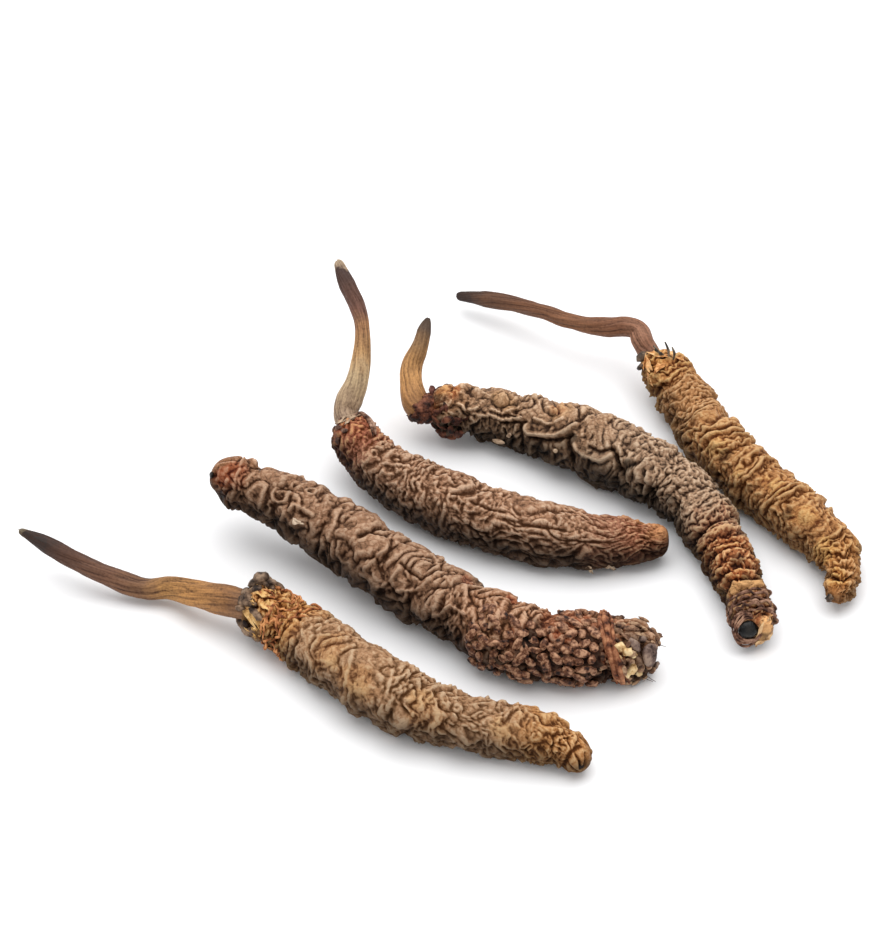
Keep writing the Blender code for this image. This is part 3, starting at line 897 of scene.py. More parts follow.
# %% The arched husk
make_husk(
    "arched_husk",
    stations=ARCHED_HUSK, seed=400, shade=1.30,
    layers=[("pads", 1.4, 1.7, 0.45, 0.45, 2, 24), ("walls", 0.9, 1.2, 0.15, 0.40, -9, 24),
            ("walls", 0.42, 1.6, 0.28, 0.38, 21, 32), ("walls", 0.5, 2.6, 0.32, 0.38, 31, 99),
            ("pads", 0.9, 0.9, 0.25, 0.25, 21, 99), ("pads", 0.5, 0.55, 0.14, 0.14, *EVERYWHERE)],
    lumps=[(502, 398, 0, 0.50, 0.50), (502, 399, 0.80, 0.18, -0.22), (559, 407, 0, 0.55, 0.40),
           (445, 389, 0, 0.40, 0.30), (461, 388, 0, 0.40, 0.35), (477, 390, 0, 0.42, 0.40),
           (519, 396, 0, 0.40, 0.40), (533, 398, 0, 0.40, 0.35), (546, 401, 0, 0.40, 0.35),
           (582, 412, 0, 0.50, 0.30), (607, 447, 0, 0.40, 0.40), (511, 435, 0, 0.35, 0.30),
           (749, 628, 0, 1.1, -0.6),
           (648, 480, 0, 0.9, 0.40), (690, 512, 0, 0.9, 0.35), (604, 462, 0, 0.7, 0.30)],
    welts=[([(491, 409), (502, 413), (513, 409)], 0.17, 0.35),
           ([(488, 414), (503, 420), (521, 417)], 0.17, 0.45),
           ([(490, 417), (503, 424), (524, 421)], 0.15, -0.40),
           ([(470, 418), (474, 414), (488, 416), (499, 422)], 0.17, 0.40),
           ([(459, 403), (465, 410), (476, 408)], 0.18, 0.40),
           ([(534, 418), (548, 424), (562, 420)], 0.17, 0.35),
           ([(524, 428), (528, 433), (543, 435), (556, 435), (567, 431), (576, 425)], 0.20, 0.55),
           ([(530, 439), (545, 441), (560, 440), (572, 435)], 0.18, -0.50),
           ([(531, 452), (540, 456), (556, 459), (566, 456)], 0.20, 0.45),
           ([(575, 444), (578, 450), (587, 455), (601, 459), (611, 455)], 0.20, 0.50),
           ([(590, 447), (600, 452), (612, 449)], 0.18, -0.40),
           ([(520, 426), (522, 440), (524, 454)], 0.25, -0.55),
           ([(568, 436), (569, 448), (573, 462)], 0.25, -0.55),
           ([(614, 450), (617, 462), (621, 476)], 0.25, -0.55),
           ([(643, 472), (646, 488), (654, 502)], 0.25, -0.50),
           ([(672, 500), (677, 515), (684, 528)], 0.25, -0.50)],
    grooves=[(24.5, 0.45, 0.30), (31.3, 0.35, 0.35), (33.4, 0.30, 0.45), (35.2, 0.30, 0.35),
             (37.6, 0.35, 0.60), (39.0, 0.25, 0.50), (40.2, 0.25, 0.55), (41.4, 0.25, 0.50),
             (42.4, 0.22, 0.45)],
    colours=("#3c210e", "#ac7f5b", "#f5cea9", "#4a1a06", "#b5683a", "#f2ba7e", "#c7b29b"),
    accent=dict(bands=[(31, 99, 2, 0.8)],
                patches=[(442, 390, 1.2, 1.2), (453, 391, 0.9, 0.9), (431, 412, 1.5, 0.8),
                         (731, 546, 1.5, 1.2), (736, 570, 1.5, 1.2), (560, 408, 0.8, 0.8)]),
    pale=dict(patches=[(505, 398, 1.2, 0.7), (560, 410, 1.2, 0.6), (442, 390, 1.0, 0.8),
                       (722, 592, 0.9, 2.6), (734, 590, 0.9, 2.6), (747, 586, 0.9, 2.6),
                       (760, 583, 0.9, 2.6), (768, 582, 0.9, 2.4), (768, 627, 1.1, 1.6),
                       (764, 638, 1.0, 2.6)]),
    dust=dict(bands=[(18, 31, 3, 0.55), (4, 18, 3, 0.3)]),
    # side: painted shade between the tail's rings, in the hollows between the leg stumps and round the head
    # and tail; the negative patch takes it off the pale flap
    side=dict(bands=[(40.2, 99, 0.8, 0.5)],
              patches=[(426, 420, 2.2, 1.0), (438, 408, 1.4, 0.8), (455, 425, 1.6, 0.8),
                       (525, 441, 0.7, 1.1), (573, 438, 0.7, 1.1), (628, 466, 0.8, 1.1),
                       (668, 500, 0.8, 1.1), (552, 446, 1.4, 0.8), (730, 609, 1.2, 0.8), (745, 606, 1.2, 0.8),
                       (762, 603, 1.2, 0.8), (770, 593, 0.8, 0.7), (735, 619, 1.2, 0.8),
                       (760, 614, 1.1, 0.7), (712, 558, 0.9, 0.9),
                       (736, 562, 0.8, 0.8), (745, 577, 0.7, 0.9), (758, 578, 0.6, 0.8),
                       (728, 581, 0.6, 0.7), (770, 628, 1.3, -1.1)]),
    segment_depth=0.50,
)

# %% [markdown]
# ## The rear husk
# The golden one at the back is ringed all along, with swellings where its back bends. Their tops are
# rubbed to a bright yellow.

# %% The rear husk
make_husk(
    "rear_husk",
    stations=REAR_HUSK, seed=500, shade=0.85,
    layers=[("pads", 0.62, 6.0, 0.50, 0.42, *EVERYWHERE), ("walls", 0.8, 2.2, 0.10, 0.30, *EVERYWHERE),
            ("pads", 1.3, 1.3, 0.18, 0.24, *EVERYWHERE),
            ("pads", 0.5, 0.6, 0.12, 0.14, *EVERYWHERE)],
    lumps=[(717, 443, 0, 0.8, 0.40), (735, 473, 0, 0.8, 0.40), (775, 484, 0, 0.8, 0.35),
           (805, 513, 0, 0.8, 0.40), (823, 547, 0, 0.8, 0.35), (762, 503, 0, 0.7, 0.35),
           (790, 530, 0, 0.7, 0.35), (700, 415, 0, 0.8, 0.30)],
    welts=[([(822, 572), (832, 578), (846, 579), (856, 575)], 0.20, -0.55)],
    colours=("#6b3d16", "#bf804c", "#eebb88", "#6e3410", "#cb8544", "#f5c27b", "#bd9f80"),
    accent=dict(bands=[(-1, 4, 2, 0.9), (12, 30, 3, 0.40)],
                patches=[(717, 443, 1.4, 1.0), (735, 473, 1.4, 1.0), (775, 484, 1.3, 1.0),
                         (805, 513, 1.3, 1.0), (823, 547, 1.5, 1.0), (837, 578, 1.3, 1.0)]),
    pale=dict(bands=[(4, 33, 3, 0.2)], patches=[(717, 443, 1.1, 0.9), (735, 473, 1.0, 0.8),
                                                (775, 484, 1.0, 0.9), (805, 513, 1.0, 0.9),
                                                (823, 547, 1.2, 0.9)]),
    dust=dict(bands=[(4, 28, 3, 0.3)]),
    # side: painted shade in the tail's groove, at the head and between the swellings
    side=dict(patches=[(838, 579, 0.7, 0.7), (643, 360, 1.0, 0.9), (748, 488, 0.7, 0.8),
                       (725, 458, 0.6, 0.8), (786, 515, 0.7, 0.8)]),
    segment_depth=0.42,
)

# %% [markdown]
# ## The stalks
# A stalk is a bundle of fungus fibre that dried thin. It is the same kind of blank, drawn thinner, and
# its wrinkles all run lengthwise and wind slowly round it. Its foot starts inside the head of the husk.

# %% Wrinkles along a stalk
STALK_SIDES = 16
STALK_SPACING = 0.5     # millimetres between its rings
STALK_END = [(0.35, 0.0), (0.7, 0.06), (0.9, 0.18), (1.0, 0.4)]     # girth, along
TWIST = 0.02            # turns in each millimetre


def striate(stalk, seed):
    """Gives the stalk fine fibres, a few ribs and soft knots, and notes what its material reads."""
    length = stalk["length_mm"]
    size = (length, STALK_GIRTH)
    share, turn = noted(stalk, "along") / length, noted(stalk, "around")
    wound = turn + TWIST * share * length
    fibres = np.abs(read_map(soft_map(size, 3.0, seed, 0.28), share, wound)) ** 0.7
    ribs = np.abs(read_map(soft_map(size, 6.0, seed + 1, 0.9), share, wound)) ** 0.8
    knots = read_map(soft_map(size, 2.2, seed + 2), share, turn)
    swell(stalk, 0.06 * (fibres - 0.5) + 0.10 * (ribs - 0.5) + 0.04 * knots)
    place_points(stalk, above_table(points_of(stalk)))
    note(stalk, "ridge", ridge_of(stalk, 6))
    note(stalk, "share", share)
    note(stalk, "east", np.cos(2 * math.pi * wound))
    note(stalk, "north", np.sin(2 * math.pi * wound))


# %% [markdown]
# ## The fibre's material
# Dried fungus fibre is matt and silky. Its colour changes from the foot to the tip, so a colour ramp
# reads the share of the length. Fine dark lines run along it, and need a pattern that is narrow round
# the stalk and long along it: two attributes that say where round the stalk a point is make that.

# %% Air-dried fungus fibre
FIBRE_BLOTCHES = 900.0     # waves in a metre: 1.1 mm wide
FIBRE_FLECKS = 5000.0      # 0.2 mm wide
FIBRE_LINES = 5.0          # round a stalk of 0.9 mm radius they are 0.15 mm wide, and some 4 mm long


def dried_fibre(name, colours, lines):
    """Air-dried fibre: colours along the stalk, and dark brown lines and painted shade of that strength."""
    material, tree, shader = new_material(name, specular=0.25, roughness=0.6)
    said = {
        kind: add_node(tree, "ShaderNodeAttribute", {"attribute_name": kind}).outputs["Fac"]
        for kind in ("ridge", "share", "east", "north")
    }
    where = add_node(tree, "ShaderNodeTexCoord").outputs["Object"]
    blotches = add_node(tree, "ShaderNodeTexNoise", {},
                        {"Vector": where, "Scale": FIBRE_BLOTCHES, "Detail": 3.0})
    # blotches move each colour's place a little to and fro, by 0.08 of the length at most
    moved = add_node(tree, "ShaderNodeMath", {"operation": "MULTIPLY_ADD"},
                     {0: blotches.outputs["Fac"], 1: 0.16, 2: said["share"]})
    moved = add_node(tree, "ShaderNodeMath", {"operation": "SUBTRACT"}, {0: moved.outputs[0], 1: 0.08})
    ramp = add_node(tree, "ShaderNodeValToRGB", {}, {"Fac": moved.outputs[0]})
    stops = ramp.color_ramp.elements
    for number, (place, colour) in enumerate(colours):
        stop = stops[number] if number < 2 else stops.new(place)
        stop.position, stop.color = place, hex_colour(colour)
    stretched = add_node(tree, "ShaderNodeCombineXYZ", {},
                         {"X": said["east"], "Y": said["north"], "Z": said["share"]})
    grain = add_node(tree, "ShaderNodeTexNoise", {},
                     {"Vector": stretched.outputs[0], "Scale": FIBRE_LINES, "Detail": 3.0, "Roughness": 0.6})
    groove = add_node(tree, "ShaderNodeMapRange", {}, {"Value": grain.outputs["Fac"], "From Min": 0.36,
                                                       "From Max": 0.60, "To Min": 1 - lines})
    # painted shade: where the stalk's relief is low, the hollows are darkened
    hollow = add_node(tree, "ShaderNodeMapRange", {}, {"Value": said["ridge"], "From Max": 0.5,
                                                       "To Min": 1 - lines})
    shade = add_node(tree, "ShaderNodeMath", {"operation": "MULTIPLY"},
                     {0: groove.outputs["Result"], 1: hollow.outputs["Result"]})
    flecks = add_node(tree, "ShaderNodeTexNoise", {}, {"Vector": where, "Scale": FIBRE_FLECKS, "Detail": 3.0})
    specks = add_node(tree, "ShaderNodeMapRange", {}, {"Value": flecks.outputs["Fac"], "From Min": 0.34,
                                                       "From Max": 0.58, "To Min": -0.24, "To Max": 0.0})
    shade = add_node(tree, "ShaderNodeMath", {"operation": "ADD"},
                     {0: specks.outputs["Result"], 1: shade.outputs[0]})
    # grooves, specks and the painted shade in the hollows turn to dark brown, and never to black
    mixed = add_node(tree, "ShaderNodeMix", {"data_type": "RGBA"},
                     {0: shade.outputs[0], 6: hex_colour("#381d0e"), 7: ramp.outputs["Color"]})
    tree.links.new(mixed.outputs[2], shader.inputs["Base Color"])
    normal = shader.inputs["Normal"]
    for height, strength, depth in ((flecks.outputs["Fac"], 0.4, 0.06), (grain.outputs["Fac"], 0.5, 0.2)):
        bump = add_node(tree, "ShaderNodeBump", {},
                        {"Height": height, "Strength": strength, "Distance": depth * MM})
        tree.links.new(bump.outputs["Normal"], normal)
        normal = bump.inputs["Normal"]
    return material


# %% [markdown]
# ## The four stalks
# Each stalk gets one more station inside its husk's head, so that it grows out of it. The colours are
# given with their share of the length. The first two are the foot and the tip, and the others follow
# in order from the foot.

# %% The four stalks
STALKS = {
    "front_stalk": dict(
        stations=[(-15.6, -13.7, 3.0, 1.3)] + FRONT_STALK, seed=60, lines=0.60,
        colours=[(0.0, "#80604a"), (1.0, "#8a7f68"), (0.10, "#9a6c42"), (0.22, "#c08a50"),
                 (0.38, "#b2824c"), (0.48, "#805c40"), (0.60, "#79543f"), (0.80, "#54392c"),
                 (0.90, "#2a2320"), (0.965, "#2f2925"), (0.98, "#776b56")]),
    "middle_stalk": dict(
        stations=[(-8.1, 8.9, 3.9, 1.0)] + MIDDLE_STALK, seed=70, lines=0.48,
        colours=[(0.0, "#a88e76"), (1.0, "#c0a98c"), (0.18, "#bb9f80"), (0.30, "#d0b48c"),
                 (0.45, "#c69a68"), (0.60, "#b3835a"), (0.68, "#80594a"), (0.85, "#5d453d"),
                 (0.93, "#463632"), (0.96, "#b39a80")]),
    "arched_stalk": dict(
        stations=[(-0.7, 12.4, 3.3, 1.0)] + ARCHED_STALK, seed=80, lines=0.44,
        colours=[(0.0, "#94683f"), (1.0, "#3c332b"), (0.2, "#a8784a"), (0.4, "#d09a60"),
                 (0.62, "#c0905c"), (0.76, "#9a7650"), (0.88, "#5f4c3c")]),
    "rear_stalk": dict(
        stations=[(19.3, 19.2, 3.2, 0.9)] + REAR_STALK, seed=90, lines=0.52,
        colours=[(0.0, "#80543c"), (1.0, "#2e2622"), (0.12, "#a3745a"), (0.22, "#885a40"),
                 (0.4, "#8c5e40"), (0.62, "#7c5238"), (0.85, "#664632"), (0.92, "#3d302a")]),
}
stalks = {}
for name, plan in STALKS.items():
    stalk = bent_tube(name + "_skin", plan["stations"], STALK_SIDES, STALK_SPACING, STALK_END)
    striate(stalk, plan["seed"])
    stalk.data.materials.append(dried_fibre("air-dried fibre, " + name, plan["colours"], plan["lines"]))
    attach(stalk, "root")
    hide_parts(name)
    stalks[name] = stalk

# %% [markdown]
# ## Finding places on a folded skin
# The torn ends carry dozens of small things: grains, threads and flakes. Each sits on the skin at a
# place given in millimetres from the head and turns round it. A search tree over those two numbers
# finds the vertex there, and with it the folded skin's point and the smooth husk's direction outwards.
# Other things have a known pixel in the picture, and the same skin says which place that is.

# %% Places
def places_on(husk):
    """Everything needed to look up a place on that skin."""
    along, turn = noted(husk, "along"), noted(husk, "around")
    finder = KDTree(len(along))
    for index, (mm, turns) in enumerate(zip(along, turn)):
        finder.insert((mm, turns * HUSK_GIRTH, 0), index)
    finder.balance()
    outwards = np.stack([noted(husk, "smooth_" + letter) for letter in "xyz"], 1)
    return {"finder": finder, "points": points_of(husk), "outwards": outwards, "axis": axis_of(husk),
            "tree": tree_of(husk), "along": along, "turn": turn}


def seat(places, mm, turns):
    """The skin's point there, the way out of it, and the way to the tail."""
    _, index, _ = places["finder"].find((mm, (turns % 1.0) * HUSK_GIRTH, 0))
    return places["points"][index], places["outwards"][index], places["axis"][index]


def spot(places, column, row):
    """How far along and round the husk the skin under that pixel of the picture is."""
    centre, _ = under_pixel(places["tree"], column, row)
    index = np.argmin(((places["points"] - centre) ** 2).sum(1))
    return places["along"][index], places["turn"][index]


# %% [markdown]
# ## Grains, threads and flakes
# A grain is modelled once, as a sphere of 80 faces pressed into shape, and set down many times in one
# mesh, each time turned, stretched and dented a little differently. A thread is a curve with a round
# bevel, turned into a mesh. A flake is a small grid with ragged edges that curls away from the skin,
# with a wall thickness put on last.

# %% Seats for grains
TRIES = 40     # for each grain, before the search for a free seat ends


def spaced(places, count, gap, dice, start, end, turn=0.0, spread=0.5, found=()):
    """Random seats, none nearer to another than the gap, on both sides of a turn."""
    found = list(found)
    wanted = len(found) + count
    for _ in range(TRIES * count):
        turns = turn + dice.uniform(-spread, spread)
        tried = seat(places, dice.uniform(start, end), turns)
        if all(np.linalg.norm(tried[0] - other[0]) > gap for other in found):
            found.append(tried)
        if len(found) == wanted:
            break
    return found


def random_sizes(dice, count, *ranges):
    """A length, a width and a height for each grain, each drawn from its own range of millimetres."""
    return [tuple(dice.uniform(*limits) for limits in ranges) for _ in range(count)]


# %% Grains
def grain_model(kind):
    """A grain of length and width 1 mm. A bean has a crease along its back; a crumb is angular."""
    bpy.ops.object.select_all(action="DESELECT")
    bpy.ops.mesh.primitive_ico_sphere_add(subdivisions=2, radius=0.5 * MM)
    model = bpy.context.object
    points = points_of(model)
    if kind == "bean":
        crease = 0.20 * np.exp(-(points[:, 1] / 0.13) ** 2)
        points[:, 2] -= np.where(points[:, 2] > 0, crease, 0)
    if kind == "crumb":
        facets = np.round(points / 0.28) * 0.28
        points = facets * 0.6 + points * 0.4
    faces = np.array([face.vertices[:] for face in model.data.polygons])
    bpy.data.objects.remove(model, do_unlink=True)
    return points, faces


def strew(name, kind, seats, sizes, seed, sink=0.3):
    """One mesh of many grains. Each size is a length, a width and a height in millimetres, and sink is
    the share of the height that is in the skin."""
    dice = np.random.default_rng(seed)
    model, faces = grain_model(kind)
    all_points, all_faces = [], []
    for (place, outwards, axis), (long, wide, high) in zip(seats, sizes):
        # it points roughly along the husk, and lies flat on the skin
        heading = axis + 0.9 * dice.standard_normal(3)
        heading = heading - outwards * heading.dot(outwards)
        heading = heading / np.linalg.norm(heading)
        across = np.cross(outwards, heading)
        # skewed first, then dented
        bent = model + 0.10 * dice.standard_normal(3) * model[:, [1, 2, 0]] * 2
        bent = bent * (1 + 0.10 * np.sin(9 * model[:, [2, 0, 1]] + dice.uniform(0, 6, 3)))
        grown = (np.outer(bent[:, 0] * long, heading) + np.outer(bent[:, 1] * wide, across)
                 + np.outer((bent[:, 2] + 0.5 - sink) * high, outwards))
        all_faces.append(faces + sum(len(points) for points in all_points))
        all_points.append(grown + place)
    data = bpy.data.meshes.new(name)
    points = above_table(np.concatenate(all_points))
    data.from_pydata((points * MM).tolist(), [], np.concatenate(all_faces).tolist())
    data.shade_smooth()
    piece = bpy.data.objects.new(name, data)
    bpy.context.scene.collection.objects.link(piece)
    return piece


def set_down(name, places, pixels, seed, kind="crumb"):
    """Grains under given pixels: the pixel, and the grain's length, width and height."""
    seats = [seat(places, *spot(places, column, row)) for column, row, *_ in pixels]
    return strew(name, kind, seats, [size for _, _, *size in pixels], seed, 0.2)


# %% Threads
THREAD_END = 0.55     # the share of its radius that a thread has at both ends


def spin_threads(name, lines):
    """One mesh of many round threads. Each line is its points and its radius, in millimetres."""
    data = bpy.data.curves.new(name, "CURVE")
    data.dimensions = "3D"
    data.resolution_u = 5
    data.bevel_depth = MM
    data.bevel_resolution = 2
    data.use_fill_caps = True
    for points, radius in lines:
        spline = data.splines.new("BEZIER")
        spline.bezier_points.add(len(points) - 1)
        for number, (knot, point) in enumerate(zip(spline.bezier_points, points)):
            knot.co = Vector(point) * MM
            knot.radius = radius * (THREAD_END if number in (0, len(points) - 1) else 1.0)
            knot.handle_left_type = knot.handle_right_type = "AUTO"
    piece = bpy.data.objects.new(name, data)
    bpy.context.scene.collection.objects.link(piece)
    bpy.ops.object.select_all(action="DESELECT")
    piece.select_set(True)
    bpy.context.view_layer.objects.active = piece
    bpy.ops.object.convert(target="MESH")
    return bpy.context.object


def wander(places, mm, turns, heading, steps, stride, dice, lift=0.06):
    """A line that creeps over the skin from a place, in a heading that keeps changing."""
    line = []
    for _ in range(steps):
        point, outwards, _ = seat(places, mm, turns)
        line.append(point + outwards * (lift + dice.uniform(0, 0.12)))
        # the heading turns by half a radian or so at each step
        heading = heading + dice.normal(0, 0.55)
        mm = max(0.2, mm + stride * math.cos(heading))
        turns = turns + stride * math.sin(heading) / HUSK_GIRTH
    return line


# %% Flakes
def cut_flakes(name, flakes, seed, thickness=0.05):
    """One mesh of thin curled flakes. Each has a foot, a tip, the way out, a width and a curl."""
    dice = np.random.default_rng(seed)
    sheets = []
    for foot, tip, outwards, width, curl in flakes:
        bpy.ops.object.select_all(action="DESELECT")
        bpy.ops.mesh.primitive_grid_add(x_subdivisions=9, y_subdivisions=7, size=1 * MM)
        sheet = bpy.context.object
        # s runs from 0 at the foot to 1 at the tip, and t from edge to edge
        grid = points_of(sheet) + np.array([0.5, 0, 0])
        s, t = grid[:, 0], grid[:, 1]
        ragged = 0.5 * np.sin(5 * s + dice.uniform(0, 6)) + 0.3 * np.sin(13 * s + dice.uniform(0, 6))
        run = np.array(tip) - np.array(foot)
        across = np.cross(outwards, run)
        across = across / np.linalg.norm(across)
        # narrower towards the tip, with ragged sides and a torn end
        half = width * (1.15 - 0.75 * s ** 2) * (1 + 0.30 * ragged)
        reach = s * (1 + 0.18 * np.sin(7 * t + dice.uniform(0, 6)) + 0.10 * np.sin(19 * t))
        # the tip and both sides curl away from the skin, and the rest is a little wavy
        lift = 0.06 + curl * s ** 2 + 0.35 * width * (4 * t * t) * curl
        lift = lift + 0.06 * np.sin(8 * s + 6 * t + dice.uniform(0, 6))
        points = (np.array(foot) + np.outer(reach, run) + np.outer(half * t, across)
                  + np.outer(lift, outwards))
        place_points(sheet, points)
        sheets.append(sheet)
    for sheet in sheets:
        sheet.select_set(True)
    bpy.context.view_layer.objects.active = sheets[0]
    if len(sheets) > 1:
        bpy.ops.object.join()
    piece = bpy.context.object
    piece.name = piece.data.name = name
    wall = piece.modifiers.new("wall", "SOLIDIFY")
    wall.thickness = thickness * MM
    wall.offset = 0.0
    bpy.ops.object.modifier_apply(modifier=wall.name)
    bpy.ops.object.shade_smooth()
    return piece


def flakes_at(places, pixels):
    """Turns pixels of the picture into flakes: where the foot and the tip are, the width, the curl."""
    flakes = []
    for column, row, tip_column, tip_row, width, curl in pixels:
        foot, _ = under_pixel(places["tree"], column, row)
        tip, _ = under_pixel(places["tree"], tip_column, tip_row)
        _, outwards, _ = seat(places, *spot(places, column, row))
        flakes.append((foot, tip, outwards, width, curl))
    return flakes


# %% [markdown]
# ## The material of the small things
# Grains are tissue, threads are fungus fibre and flakes are torn membrane, and all of them dried in the
# open air. Water left them, and with it their gloss, so they are matt. One material does for all, with
# a dark, a middle and a light colour in blotches. The gut alone dried to a smooth crust that shines.

# %% Dried bits
GRAIN_BLOTCHES = 1400.0     # waves in a metre: 0.7 mm wide, about a grain each
GRAIN_GRIT = 5000.0         # 0.2 mm wide


def dried_bits(name, dark, middle, light, roughness=0.65, blotch=GRAIN_BLOTCHES):
    """Small things that dried in air: dark, middle and light colours in blotches."""
    material, tree, shader = new_material(name, specular=0.2, roughness=roughness)
    where = add_node(tree, "ShaderNodeTexCoord").outputs["Object"]
    blotches = add_node(tree, "ShaderNodeTexNoise", {},
                        {"Vector": where, "Scale": blotch, "Detail": 4.0, "Roughness": 0.6})
    ramp = add_node(tree, "ShaderNodeValToRGB", {}, {"Fac": blotches.outputs["Fac"]})
    first, last = ramp.color_ramp.elements
    first.position, first.color = 0.36, hex_colour(dark)
    last.position, last.color = 0.64, hex_colour(light)
    between = ramp.color_ramp.elements.new(0.48)
    between.color = hex_colour(middle)
    tree.links.new(ramp.outputs["Color"], shader.inputs["Base Color"])
    grit = add_node(tree, "ShaderNodeTexNoise", {}, {"Vector": where, "Scale": GRAIN_GRIT, "Detail": 3.0})
    bump = add_node(tree, "ShaderNodeBump", {},
                    {"Height": grit.outputs["Fac"], "Strength": 0.6, "Distance": 0.08 * MM})
    tree.links.new(bump.outputs["Normal"], shader.inputs["Normal"])
    return material


def finish(piece, node, name, *look):
    """Presses the piece flat where it meets the table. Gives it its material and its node."""
    place_points(piece, above_table(points_of(piece), 0.0))
    piece.data.materials.append(dried_bits(name, *look))
    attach(piece, "root")
    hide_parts(node)
    print(f"{piece.name}: {len(piece.data.polygons)} faces")


# %% [markdown]
# ## The front husk's torn head
# The stalk burst out of this head. A collar of dark, lumpy tissue is left round its foot, then torn pale
# membrane round a dark hollow, and then a band where the skin has come off and orange fibres show. The
# tail ends in a slit with a dark vent in it.

# %% The front husk's collar
front = places_on(skins["front_husk"])
dice = np.random.default_rng(11)
hollow_point, _ = under_pixel(front["tree"], 250, 618)
seats = [seat(front, dice.uniform(0.1, 2.2), dice.uniform()) for _ in range(70)]
seats = [found for found in seats if np.linalg.norm(found[0] - hollow_point) > 1.0]
sizes = random_sizes(dice, len(seats), (0.6, 1.2), (0.5, 0.8), (0.4, 0.8))
collar = strew("front_collar", "crumb", seats, sizes, 12)
finish(collar, "front_husk", "dried collar tissue", "#2a1d16", "#5f4a3a", "#937860")

# %% The front husk's knobs, hollow and vent
knobs = set_down("front_knobs", front, [
    (262, 581, 1.6, 1.3, 1.1), (252, 583, 1.3, 1.1, 0.9), (244, 590, 1.2, 1.0, 0.8),
    (271, 586, 1.1, 0.9, 0.8), (240, 600, 1.0, 0.9, 0.7), (257, 590, 0.9, 0.8, 0.6),
    (246, 634, 1.0, 0.8, 0.6)], 15, "bean")
finish(knobs, "front_husk", "dried knobs of tissue", "#241a15", "#584639", "#8d7560")
# painted shade: near-black grains fill the hollow and the vent, where shade falls
hollow = set_down("front_hollow", front, [(250, 617, 1.1, 0.7, 0.35), (247, 623, 0.8, 0.6, 0.35)], 16, "bean")
finish(hollow, "front_husk", "near-black painted shade in the hollow", "#0a0604", "#1c110b", "#35221a", 0.8)
vent = set_down("front_vent", front, [(581, 767, 0.7, 0.5, 0.2)], 17, "bean")
finish(vent, "front_husk", "near-black painted shade in the vent", "#0a0604", "#1c110b", "#35221a", 0.8)

# %% The front husk's torn membrane and orange fibres
FRONT_FLAPS = [
    (244, 604, 259, 627, 0.9, 0.2), (247, 600, 258, 606, 0.7, 0.5), (256, 612, 262, 630, 0.8, 0.1),
    (247, 630, 258, 634, 0.6, 0.3), (259, 592, 268, 600, 0.6, 0.4), (262, 634, 256, 626, 0.6, 0.3),
    (268, 588, 274, 596, 0.6, 0.3), (264, 602, 270, 612, 0.7, 0.2)]
flaps = cut_flakes("front_flaps", flakes_at(front, FRONT_FLAPS), 13)
finish(flaps, "front_husk", "torn dried membrane", "#8f6a3c", "#c89a5c", "#e6c084")

FRONT_THREADS = 64
dice = np.random.default_rng(14)
lines = []
for _ in range(FRONT_THREADS):
    begin = (dice.uniform(2.3, 5.6), dice.uniform(), dice.uniform(0, 6.3))
    lines.append((wander(front, *begin, 6, 0.38, dice), dice.uniform(0.07, 0.13)))
threads = spin_threads("front_threads", lines)
finish(threads, "front_husk", "dried orange fibres", "#5e2f18", "#a5673d", "#d49660")

# %% [markdown]
# ## The broad husk's tail
# Here the skin has come off the lower side, and the dried tissue under it shows as grains like coffee
# beans. A strap of fibre is wrapped round it, and past the strap lie pale granules and dark lumps.

# %% Beans and crumbs
broad = places_on(skins["broad_husk"])
_, bean_turn = spot(broad, 570, 662)
dice = np.random.default_rng(21)
seats = spaced(broad, 125, 0.78, dice, 29.5, 38.3, bean_turn, 0.15)
seats = spaced(broad, 40, 0.85, dice, 35.4, 38.3, bean_turn, 0.32, seats)
sizes = random_sizes(dice, len(seats), (0.9, 1.7), (0.60, 0.92), (0.50, 0.80))
beans = strew("broad_beans", "bean", seats, sizes, 22, 0.42)
finish(beans, "broad_husk", "dried bean tissue", "#1e0a05", "#69412c", "#bb8f70", 0.5, 2200.0)

seats = spaced(broad, 100, 0.60, dice, 38.6, 43.4)
sizes = random_sizes(dice, len(seats), (0.6, 1.3), (0.35, 0.6), (0.3, 0.5))
crumbs = strew("broad_crumbs", "bean", seats, sizes, 23)
finish(crumbs, "broad_husk", "dried crumbs", "#2b1710", "#75543f", "#b99878")

# %% Granules and lumps past the strap
granules = set_down("broad_granules", broad, [
    (620, 647, 1.0, 0.8, 0.7), (627, 652, 0.9, 0.8, 0.8), (631, 666, 1.2, 1.0, 0.9),
    (626, 672, 0.8, 0.7, 0.6), (637, 671, 0.8, 0.6, 0.6), (617, 656, 0.6, 0.5, 0.5),
    (634, 655, 0.6, 0.5, 0.5)], 24)
finish(granules, "broad_husk", "cream fat granules", "#8f6535", "#d4b280", "#ecd6a8", 0.6)
lumps = set_down("broad_lumps", broad, [
    (634, 645, 1.3, 0.9, 0.5), (641, 640, 0.9, 0.7, 0.5), (648, 655, 1.9, 1.5, 0.9),
    (652, 648, 0.9, 0.8, 0.6), (655, 665, 0.8, 0.7, 0.5)], 25, "bean")
finish(lumps, "broad_husk", "grey dried lumps", "#32241f", "#68534a", "#978070", 0.5)

# %% [markdown]
# ## The strap and the hairs
# The strap is four fibres side by side that sway a little as they go round, and they are laid along
# pixels of the picture. The hairs are set at random round the last ring and point backwards.

# %% The strap
STRAP = [(603, 613), (603, 624), (605, 636), (608, 648), (612, 660), (617, 672), (621, 680)]
STRAP_FIBRES = ((0, 0.26), (3.5, 0.24), (-3, 0.20), (7, 0.15))     # pixels sideways, radius
straps = []
for shift, radius in STRAP_FIBRES:
    line = []
    for number, (column, row) in enumerate(STRAP):
        sway = 0.9 * math.sin(1.3 * number + shift)
        point, outwards, _ = seat(broad, *spot(broad, column + shift + sway, row))
        line.append(point + outwards * 0.32)
    straps.append((line, radius))
strap = spin_threads("broad_strap", straps)
finish(strap, "broad_husk", "dried strap fibre", "#37190c", "#7c4930", "#b27c58")

